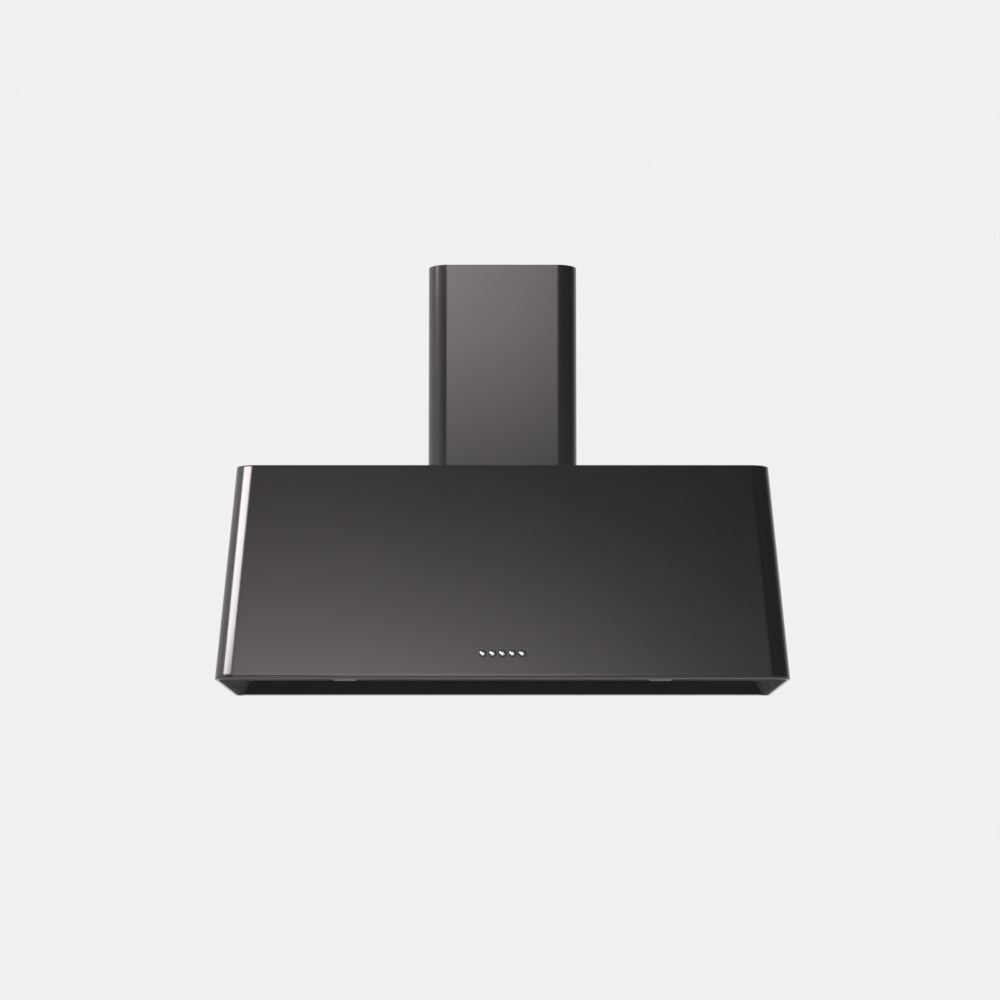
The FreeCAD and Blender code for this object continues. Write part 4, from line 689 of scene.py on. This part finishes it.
class HOOD_OT_canopy(bpy.types.Operator):
    """Folds the canopy's front and sides, its top plate and its back panel"""

    bl_idname = "hood.canopy"
    bl_label = "Canopy"

    def execute(self, context):
        sizes = context.scene.hood_sheet
        thick, fold, lip = sizes.thick, sizes.fold, sizes.lip
        top, flange = CANOPY_TOP, sizes.flange
        inside = max(fold - thick, 0.2 * MM)

        def arc(centre, radius, start, end, steps=5):
            return [
                (centre[0] + radius * math.cos(start + (end - start) * step / steps),
                 centre[1] + radius * math.sin(start + (end - start) * step / steps))
                for step in range(steps + 1)
            ]

        # (inset, height) round the section: under the flange, up outside, down inside.
        hem = fold + HEM
        outline = [(flange, 0.3 * MM), (flange - 0.3 * MM, 0), (hem, 0), (fold + 1.5 * MM, 0)]
        outline += arc((fold, fold), fold, -math.pi / 2, -math.pi)
        lean = (CANOPY_DEPTH[0] - CANOPY_DEPTH[1]) / (top - lip)
        slope = math.atan(lean)
        outline.append((0, lip - CREASE_END))
        for step in range(7):
            turned = slope * step / 6
            level = CREASE_BEND * math.sin(turned) - CREASE_BEND * math.tan(slope / 2)
            outline.append((CREASE_BEND * (1 - math.cos(turned)) - max(level, 0) * lean, lip + level))
        outline.append((0, lip + CREASE_END))
        outline += [(0, top - 2 * MM), (0, top - 0.3 * MM), (0.3 * MM, top), (thick, top)]
        outline += [(thick, lip + thick), (thick, lip - 0.5 * MM)]
        outline += [(thick, fold)] + arc((fold, fold), inside, math.pi, 1.5 * math.pi)[1:]
        outline += [(flange - 0.3 * MM, thick), (flange, thick - 0.3 * MM)]

        loops = []
        for inset, level in outline:
            half, depth = canopy_reach(level)
            plan = front_plan(half - inset, depth - inset, sizes.corner - inset, 0.0, sizes.corner_steps)
            loops.append([Vector((point.x, point.y, level)) for point in plan])
        work = bmesh.new()
        skin(work, [list(section) for section in zip(*loops)])
        shell = new_piece("canopy_sheet", work)
        row = [middle_of(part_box(f"button_{number}")).x for number in BUTTONS]
        bored(shell, [panel_place(x) for x in row], BUTTON_HOLE)
        lens = middle_of(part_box("indicator_lens"))
        bored(shell, [panel_place(lens.x, PILOT_DROP)], PILOT_HOLE, steps=24)
        settle(shell, "hood", "enamel", ("canopy_shell",), angle=35)
        shell.data.materials.append(finishes()["liner"])
        for face in shell.data.polygons:
            centre = face.center
            half, depth = canopy_reach(centre.z)
            side, front = half - abs(centre.x), depth + centre.y
            inset = min(side, front)
            if side < sizes.corner and front < sizes.corner:
                inset = sizes.corner - math.hypot(sizes.corner - side, sizes.corner - front)
            under = centre.z < 0.5 * thick and inset > hem - 0.5 * MM
            if under or (centre.z > thick * 0.7 and inset > thick * 0.8):
                face.material_index = 1

        ease = 0.35 * MM
        plate = []
        for inset, level in ((ease, top), (0, top + ease), (0, TOP[1].z - ease), (ease, TOP[1].z)):
            half, depth = CANOPY_HALF[1] - inset, CANOPY_DEPTH[1] - inset
            plan = front_plan(half, depth, sizes.corner - inset, -inset, sizes.corner_steps)
            plate.append([Vector((point.x, point.y, level)) for point in plan])
        work = bmesh.new()
        skin(work, plate)
        plate = new_piece("canopy_top_plate", work)
        duct, gland = middle_of(COLLAR), middle_of(GLAND)
        bored(plate, [upright(duct.x, duct.y, top)], DUCT_HOLE, steps=96)
        bored(plate, [upright(gland.x, gland.y, top)], GLAND_HOLE)
        screws = []
        for group in ("chimney_screws", "collar_screws", "blower_screws"):
            screws += [upright(*middle_of(box).xy, top) for box in solids_of(group)]
        bored(plate, screws, SCREW_HOLE, steps=24)
        settle(plate, "hood", "enamel", ("canopy_top",), angle=35)

        eased("canopy_back", "hood", "zinc", 0.3)
        return {"FINISHED"}


class HOOD_OT_chimney(bpy.types.Operator):
    """Folds the chimney's outer cover and the sleeve that slides inside it"""

    bl_idname = "hood.chimney"
    bl_label = "Chimney"

    def execute(self, context):
        sizes = context.scene.hood_sheet
        thick = sizes.thick
        half, depth = COVER[1].x, -COVER[0].y
        screws = [middle_of(box).xy for box in solids_of("chimney_screws")]
        cover = wrap_sheet(
            "chimney_sheet", half, depth, sizes.corner, 0.0, COVER[0].z, COVER[1].z, CHIMNEY_RETURN)
        settle(cover, "hood", "enamel", ("chimney_cover",), angle=35)
        work = bmesh.new()
        for side in (-1, 1):
            near, far = half - thick, half - thick - CHIMNEY_RETURN
            low, high = -(depth - sizes.corner), -sizes.corner
            rim = fillet([(near, low), (far, low), (far, high), (near, high)], 2 * MM)
            rim = [(side * point.x, point.y) for point in rim]
            skin(work, [[(x, y, level) for x, y in rim] for level in (COVER[0].z, COVER[0].z + thick)])
        foot = new_piece("chimney_foot", work)
        bored(foot, [upright(x, y, COVER[0].z) for x, y in screws], SCREW_HOLE, 4 * MM, 24)
        settle(foot, "hood", "enamel")
        inner_half, inner_depth = SLEEVE[1].x, -SLEEVE[0].y
        gap = half - inner_half
        sleeve = wrap_sheet(
            "chimney_inner_sheet", inner_half, inner_depth, sizes.corner - gap, -gap,
            SLEEVE[0].z, SLEEVE[1].z, CHIMNEY_RETURN)
        bored(sleeve, [upright(x, y, SLEEVE[0].z) for x, y in screws], DRIVER_HOLE, 4 * MM, 40)
        settle(sleeve, "chimney_sleeve", "enamel", ("chimney_sleeve",), angle=35)
        eased("chimney_bracket", "hood", "zinc", 0.4)
        screw_heads("chimney_screws")
        return {"FINISHED"}


# ---------------------------------------------------------------- controls


class HOOD_OT_buttons(bpy.types.Operator):
    """Turns the chrome buttons, their black rings, darkened with painted shade, and the pilot lens"""

    bl_idname = "hood.buttons"
    bl_label = "Buttons"

    def execute(self, context):
        cap = [(0, -14), (2.5, -14), (2.5, -6), (5.8, -6), (6, -5.8), (6, 1.3), (5.95, 1.75),
               (5.78, 2.12), (5.5, 2.42), (5.1, 2.66), (4.5, 2.88), (3.8, 3.07), (3.0, 3.24),
               (2.0, 3.38), (1.0, 3.47), (0, 3.5)]
        ring = [(6.4, -6), (7.2, -6), (7.2, 0.0), (8.05, 0.0), (8.1, 0.08), (8.05, 0.5),
                (7.8, 0.86), (7.4, 1.0), (6.9, 0.98), (6.55, 0.8), (6.4, 0.5)]
        places = []
        for number in BUTTONS:
            node = f"button_{number}"
            place = panel_place(middle_of(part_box(node)).x)
            places.append(place)
            turned_piece(f"{node}_cap", cap, [place], 72, node, "chrome", node, 50)
        # The rings' extra darkness is painted shade for the gap round each cap.
        turned_piece("button_rings", ring, places, 72, "hood", "ring", "button_bezels", 50)
        dome = [(0, -1.1), (1.6, -1.1), (1.6, 0.05), (1.5, 0.28), (1.2, 0.42), (0.7, 0.49), (0, 0.5)]
        place = panel_place(middle_of(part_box("indicator_lens")).x, PILOT_DROP)
        turned_piece("pilot_lens", dome, [place], 32, "hood", "smoked", "indicator_lens", 50)
        eased("switch_housing", "hood", "black", 0.5)
        return {"FINISHED"}


# ---------------------------------------------------------------- underside


class HOOD_OT_underside(bpy.types.Operator):
    """Presses the recess, the light strip and the two lamps"""

    bl_idname = "hood.underside"
    bl_label = "Underside"

    def execute(self, context):
        eased("underside_liner", "hood", "liner", 0.45, windows=True)
        eased("light_panel", "hood", "liner", 0.35)
        can = [(16.3, -0.5), (16.5, -0.8), (17, -0.9), (23.4, -0.9), (23.85, -0.7), (24, -0.3),
               (24, 0), (20, 0), (20, 26), (19.6, 27.5), (16, 31.4), (15, 32), (0, 32), (0, 7),
               (14, 3), (16.3, 3)]
        glass = [(0, -0.72), (15.2, -0.7), (15.8, -0.55), (16, -0.2), (16, 2.6), (15.8, 2.7), (0, 2.7)]
        for side in SIDES:
            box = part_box(f"lamp_housing_{side}")
            places = [upright(*middle_of(box).xy, box[0].z + 0.9 * MM)]
            turned_piece(f"lamp_can_{side}", can, places, 96, "hood", "trim", f"lamp_housing_{side}")
            turned_piece(f"lamp_glass_{side}", glass, places, 96, "hood", "glass", f"lamp_lens_{side}")
        return {"FINISHED"}


class HOOD_OT_filters(bpy.types.Operator):
    """Folds the baffle filters and moulds their latches"""

    bl_idname = "hood.filters"
    bl_label = "Filters"

    def execute(self, context):
        for name in FILTERS:
            eased(f"filter_frame_{name}", f"filter_{name}", "steel_x", 0.35)
            work = bmesh.new()
            boxes = solids_of(f"filter_baffles_{name}")
            lowest = min(low.z for low, high in boxes)
            for low, high in boxes:
                self.channel(work, low, high, low.z > lowest + 1 * MM)
            baffles = new_piece(f"baffle_channels_{name}", work)
            settle(baffles, f"filter_{name}", "steel_y", (f"filter_baffles_{name}",), angle=50)
            eased(f"filter_latch_{name}", f"latch_{name}", "black", 0.7, 3)
        return {"FINISHED"}

    @staticmethod
    def channel(work, low, high, turned_down):
        """One baffle: a trough with rounded bends, upside down in the upper row."""
        half, tall = (high.x - low.x) / 2, high.z - low.z
        line = [Vector((-half, tall)), Vector((-half, 0)), Vector((half, 0)), Vector((half, tall))]
        outer = fillet(line, BAFFLE_BEND, 6, closed=False)
        section = outer + offset_path(outer, -BAFFLE_SHEET)[::-1]
        if turned_down:
            section = [Vector((point.x, tall - point.y)) for point in section]
        middle = (low.x + high.x) / 2
        rows = [[(middle + point.x, y, low.z + point.y) for point in section] for y in (low.y, high.y)]
        skin(work, rows)


# ---------------------------------------------------------------- working parts


class HOOD_OT_duct(bpy.types.Operator):
    """Eases the duct collar and its flaps, and slots its screws"""

    bl_idname = "hood.duct"
    bl_label = "Duct collar"

    def execute(self, context):
        eased("outlet_collar", "hood", "zinc", 0.3)
        coat("flap_pin", "bolt")
        for name in ("front", "rear"):
            eased(f"damper_flap_{name}", f"damper_{name}", "grey", 0.25)
        screw_heads("collar_screws")
        return {"FINISHED"}


class HOOD_OT_blower(bpy.types.Operator):
    """Finishes the scroll, the wheel, the motor and its mounting"""

    bl_idname = "hood.blower"
    bl_label = "Blower"

    def execute(self, context):
        for name in SIDES:
            eased(f"scroll_{name}", "hood", "zinc", 0.4)
        coat("impeller", "zinc")
        coat("motor_shaft", "bolt")
        place = upright(MOTOR[0].x, *middle_of(MOTOR).yz) @ Matrix.Rotation(math.pi / 2, 4, "Y")
        length = (MOTOR[1].x - MOTOR[0].x) / MM
        shell = [(0, 0.6), (30, 0), (38, 0.6), (42, 2.3), (44.6, 5), (46, 9), (46, 24),
                 (45.2, 24.6), (45.2, 25.6), (46, 26.2), (46, 50), (45.2, 50.6), (45.2, 51.6),
                 (46, 52.2), (46, length - 17), (44.6, length - 12.5), (42, length - 9.8),
                 (38, length - 8), (12, length - 8), (12, length - 0.3), (11.6, length),
                 (4.05, length), (4.05, 7), (0, 7)]
        turned_piece("motor_can", shell, [place], 96, "hood", "casting", "motor", 28)
        eased("motor_cradle", "hood", "zinc", 0.4)
        eased("rubber_mounts", "hood", "rubber", 0.8, 3)
        screw_heads("blower_screws")
        screw_heads("motor_screws", -SIDEWAYS)
        return {"FINISHED"}


class HOOD_OT_fixings(bpy.types.Operator):
    """Finishes the wall hooks, the hangers and the levelling screws"""

    bl_idname = "hood.fixings"
    bl_label = "Wall fixings"

    def execute(self, context):
        for side in SIDES:
            eased(f"wall_hook_{side}", "hood", "zinc", 0.5)
            eased(f"hanger_{side}", "hood", "zinc", 0.4)
        eased("levelling_screws", "hood", "bolt", 0.4)
        return {"FINISHED"}


class HOOD_OT_electrics(bpy.types.Operator):
    """Finishes the control box, its board, the capacitor and the cable gland"""

    bl_idname = "hood.electrics"
    bl_label = "Electrics"

    def execute(self, context):
        eased("control_box", "hood", "grey", 0.6)
        eased("control_box_lid", "hood", "grey", 0.8, 3)
        eased("control_board", "hood", "board", 0.4)
        tall = (CAPACITOR[1].z - CAPACITOR[0].z) / MM
        can = [(0, 0), (15, 0), (16.4, 0.5), (17, 2), (17, 3.6), (16.5, 4.2), (17, 4.8), (17, tall - 6.4),
               (16.6, tall - 6), (13, tall - 6), (13, tall - 0.5), (12.5, tall), (0, tall)]
        place = upright(*middle_of(CAPACITOR).xy, CAPACITOR[0].z)
        turned_piece("capacitor_body", can, [place], 64, "hood", "can", "capacitor")
        eased("capacitor_clip", "hood", "zinc", 0.3)
        grip = [(4.5, -14), (6.6, -14), (7, -13.6), (7, 0), (12, 0), (12, 3.4), (11.4, 4), (9, 4),
                (9, 9.6), (8.6, 10.6), (6.4, 13.8), (6, 14), (4.5, 14)]
        place = upright(*middle_of(GLAND))
        turned_piece("gland_body", grip, [place], 48, "hood", "black", "cable_gland", 30)
        return {"FINISHED"}


# ---------------------------------------------------------------- studio


# The cloths' outlines, aside and up from their middles, in metres.
FRONT_CLOTH = (
    (0.15, -1.2), (1.0, -1.2), (1.0, 0.12), (2.9, 0.35), (2.9, 2.6), (-2.0, 2.6), (-2.0, 0.3),
    (0.15, 0.12))
LOW_CLOTH = ((-0.6, -0.3), (1.6, -0.3), (1.6, 0.27), (-0.6, 0.27))

# The middle of the dark drapes, as seen from the hood, and their brightness.
DRAPES, DRAPE_GLOW = Vector((0.50, -0.62, 0.60)), 0.09

# The camera: its place in metres, its tilt upward in degrees and its lens shift.
CAMERA_PLACE = (0, -6.5639, -0.4631)
CAMERA_TILT = 5.901
CAMERA_SHIFT = (-0.00255, 0.1)

FLOOR_TONE = 0.42


def softbox(name, near, far, target, height, power):
    """A rectangular lamp between two upright edges that looks at a point and isn't seen itself."""
    near, far = Vector(near), Vector(far)
    lamp = bpy.data.lights.new(name, "AREA")
    lamp.shape, lamp.size, lamp.size_y, lamp.energy = "RECTANGLE", (far - near).length, height, power
    stand = bpy.data.objects.new(name, lamp)
    along = (far - near).normalized()
    away = ((near + far) / 2 - Vector(target)).normalized()
    away = (away - along * away.dot(along)).normalized()
    place = Matrix((along, away.cross(along), away)).transposed().to_4x4()
    place.translation = (near + far) / 2
    stand.matrix_world = place
    stand.visible_camera = False
    bpy.context.scene.collection.objects.link(stand)


def bare_material(name):
    """A new node material without a shader, and its node tree."""
    made = bpy.data.materials.new(name)
    made.use_nodes = True
    made.node_tree.nodes.clear()
    return made, made.node_tree


def glowing_cloth(name, middle, outline, reach, glow):
    """A softbox's cloth, fading from its middle by its reach aside, up and down, and not seen itself."""
    work = bmesh.new()
    work.faces.new([work.verts.new((x, 0, z)) for x, z in outline])
    cloth = linked(name, work)
    cloth.location = middle
    cloth.visible_camera = cloth.visible_shadow = False
    paint, tree = bare_material(name)
    where = tree.nodes.new("ShaderNodeTexCoord").outputs["Object"]
    spread = worked(tree, "VectorMath", "DIVIDE", where, (reach[0], 1, reach[1]))
    fall = worked(tree, "VectorMath", "DIVIDE", where, (-reach[0], 1, -reach[2]))
    either = worked(tree, "VectorMath", "MAXIMUM", spread, fall)
    far = worked(tree, "VectorMath", "DOT_PRODUCT", either, either)
    fade = worked(tree, "Math", "POWER", math.exp(-0.5), far)
    light, out = tree.nodes.new("ShaderNodeEmission"), tree.nodes.new("ShaderNodeOutputMaterial")
    tree.links.new(worked(tree, "Math", "MULTIPLY", fade, glow), light.inputs["Strength"])
    tree.links.new(light.outputs[0], out.inputs["Surface"])
    cloth.data.materials.append(paint)


def dark_drapes(tree, pale):
    """The pale surroundings, where mirrored rays see dark drapes in front and to the right."""
    where = tree.nodes.new("ShaderNodeTexCoord").outputs["Generated"]
    toward = worked(tree, "VectorMath", "DOT_PRODUCT", where, DRAPES.normalized())
    drape = ranged(tree, toward, pale, DRAPE_GLOW, -0.15, 0.55, smooth=True)
    height = tree.nodes.new("ShaderNodeSeparateXYZ")
    tree.links.new(where, height.inputs["Vector"])
    hem = ranged(tree, height.outputs["Z"], 1.0, 0.0, 0.08, 0.13)
    camera = tree.nodes.new("ShaderNodeLightPath").outputs["Is Camera Ray"]
    strength = tree.nodes.new("ShaderNodeMix")
    strength.inputs["B"].default_value = pale
    tree.links.new(worked(tree, "Math", "MAXIMUM", camera, hem), strength.inputs["Factor"])
    tree.links.new(drape, strength.inputs["A"])
    return strength.outputs["Result"]


def seen_rays(tree):
    """1 for rays from the camera and for those that metal or glass sends on, else 0."""
    path = tree.nodes.new("ShaderNodeLightPath")
    seen = path.outputs["Is Camera Ray"]
    for name in ("Is Glossy Ray", "Is Transmission Ray"):
        seen = worked(tree, "Math", "MAXIMUM", seen, path.outputs[name])
    return seen


class HOOD_OT_studio(bpy.types.Operator):
    """Sets the camera, the lamps, the pale surroundings and the floor"""

    bl_idname = "hood.studio"
    bl_label = "Studio"

    def execute(self, context):
        studio = context.scene.hood_studio
        context.scene.view_settings.view_transform = "Standard"
        camera = bpy.data.cameras.new("camera")
        camera.lens, camera.sensor_width = studio.lens, 36
        camera.shift_x, camera.shift_y = CAMERA_SHIFT
        camera.clip_end = 200
        stand = bpy.data.objects.new("camera", camera)
        stand.location = CAMERA_PLACE
        stand.rotation_euler = (math.radians(90 + CAMERA_TILT), 0, 0)
        context.scene.collection.objects.link(stand)
        context.scene.camera = stand

        world = bpy.data.worlds.new("surroundings")
        world.use_nodes = True
        context.scene.world = world
        tree = world.node_tree
        tree.nodes.clear()
        soft, pale = tree.nodes.new("ShaderNodeBackground"), tree.nodes.new("ShaderNodeBackground")
        soft.inputs["Color"].default_value = (1, 1, 1, 1)
        soft.inputs["Strength"].default_value = studio.fill
        pale.inputs["Color"].default_value = (1, 1, 1, 1)
        tree.links.new(dark_drapes(tree, studio.backdrop), pale.inputs["Strength"])
        mix, out = tree.nodes.new("ShaderNodeMixShader"), tree.nodes.new("ShaderNodeOutputWorld")
        tree.links.new(seen_rays(tree), mix.inputs["Fac"])
        tree.links.new(soft.outputs[0], mix.inputs[1])
        tree.links.new(pale.outputs[0], mix.inputs[2])
        tree.links.new(mix.outputs[0], out.inputs["Surface"])

        glowing_cloth("front_cloth", (-0.65, -2.9, 1.55), FRONT_CLOTH, (0.84, 0.84, 0.46), studio.front_glow)
        glowing_cloth("low_cloth", (-0.6, -2.9, 0.48), LOW_CLOTH, (1.05, 3, 3), studio.low_glow)
        softbox(
            "side_softbox", (-2.98, -0.85, 1.97), (-1.63, -1.95, 2.58), (-0.57, -0.38, 0.25), 1.1,
            studio.side_power)

        work = bmesh.new()
        bmesh.ops.create_circle(work, cap_ends=True, segments=96, radius=60)
        floor = linked("floor", work)
        floor.location.z = studio.floor
        paint, tree = bare_material("pale_floor")
        matt, glow = tree.nodes.new("ShaderNodeBsdfDiffuse"), tree.nodes.new("ShaderNodeEmission")
        matt.inputs["Color"].default_value = (FLOOR_TONE,) * 3 + (1,)
        glow.inputs["Color"].default_value = (studio.backdrop,) * 3 + (1,)
        mix, out = tree.nodes.new("ShaderNodeMixShader"), tree.nodes.new("ShaderNodeOutputMaterial")
        where = tree.nodes.new("ShaderNodeTexCoord").outputs["Object"]
        share = ranged(tree, worked(tree, "VectorMath", "LENGTH", where), 0.55, 1.0, 2.0, 11.0, smooth=True)
        tree.links.new(worked(tree, "Math", "MULTIPLY", seen_rays(tree), share), mix.inputs["Fac"])
        tree.links.new(matt.outputs[0], mix.inputs[1])
        tree.links.new(glow.outputs[0], mix.inputs[2])
        side, clear = tree.nodes.new("ShaderNodeNewGeometry"), tree.nodes.new("ShaderNodeBsdfTransparent")
        one_sided = tree.nodes.new("ShaderNodeMixShader")
        tree.links.new(side.outputs["Backfacing"], one_sided.inputs["Fac"])
        tree.links.new(mix.outputs[0], one_sided.inputs[1])
        tree.links.new(clear.outputs[0], one_sided.inputs[2])
        tree.links.new(one_sided.outputs[0], out.inputs["Surface"])
        floor.data.materials.append(paint)
        return {"FINISHED"}


# ---------------------------------------------------------------- add-on


OPERATORS = (
    HOOD_OT_canopy, HOOD_OT_chimney, HOOD_OT_buttons, HOOD_OT_underside, HOOD_OT_filters,
    HOOD_OT_duct, HOOD_OT_blower, HOOD_OT_fixings, HOOD_OT_electrics, HOOD_OT_studio,
)


class HOOD_PT_pieces(bpy.types.Panel):
    """The hood's pieces, finishes and studio"""

    bl_idname = "HOOD_PT_pieces"
    bl_label = "Range Hood"
    bl_space_type = "VIEW_3D"
    bl_region_type = "UI"
    bl_category = "Range Hood"

    def draw(self, context):
        for group in (context.scene.hood_sheet, context.scene.hood_finishes, context.scene.hood_studio):
            box = self.layout.box()
            for name in group.bl_rna.properties.keys():
                if name not in ("rna_type", "name"):
                    box.prop(group, name)
        for operator in OPERATORS:
            self.layout.operator(operator.bl_idname)


CLASSES = (SheetSizes, Finishes, Studio, *OPERATORS, HOOD_PT_pieces)


def register():
    for made in CLASSES:
        bpy.utils.register_class(made)
    bpy.types.Scene.hood_sheet = PointerProperty(type=SheetSizes)
    bpy.types.Scene.hood_finishes = PointerProperty(type=Finishes)
    bpy.types.Scene.hood_studio = PointerProperty(type=Studio)


def unregister():
    del bpy.types.Scene.hood_studio
    del bpy.types.Scene.hood_finishes
    del bpy.types.Scene.hood_sheet
    for made in reversed(CLASSES):
        bpy.utils.unregister_class(made)


def main():
    register()
    bpy.ops.hood.studio()
    bpy.ops.hood.canopy()
    bpy.ops.hood.chimney()
    bpy.ops.hood.buttons()
    bpy.ops.hood.underside()
    bpy.ops.hood.filters()
    bpy.ops.hood.duct()
    bpy.ops.hood.blower()
    bpy.ops.hood.fixings()
    bpy.ops.hood.electrics()


if __name__ == "__main__":
    main()
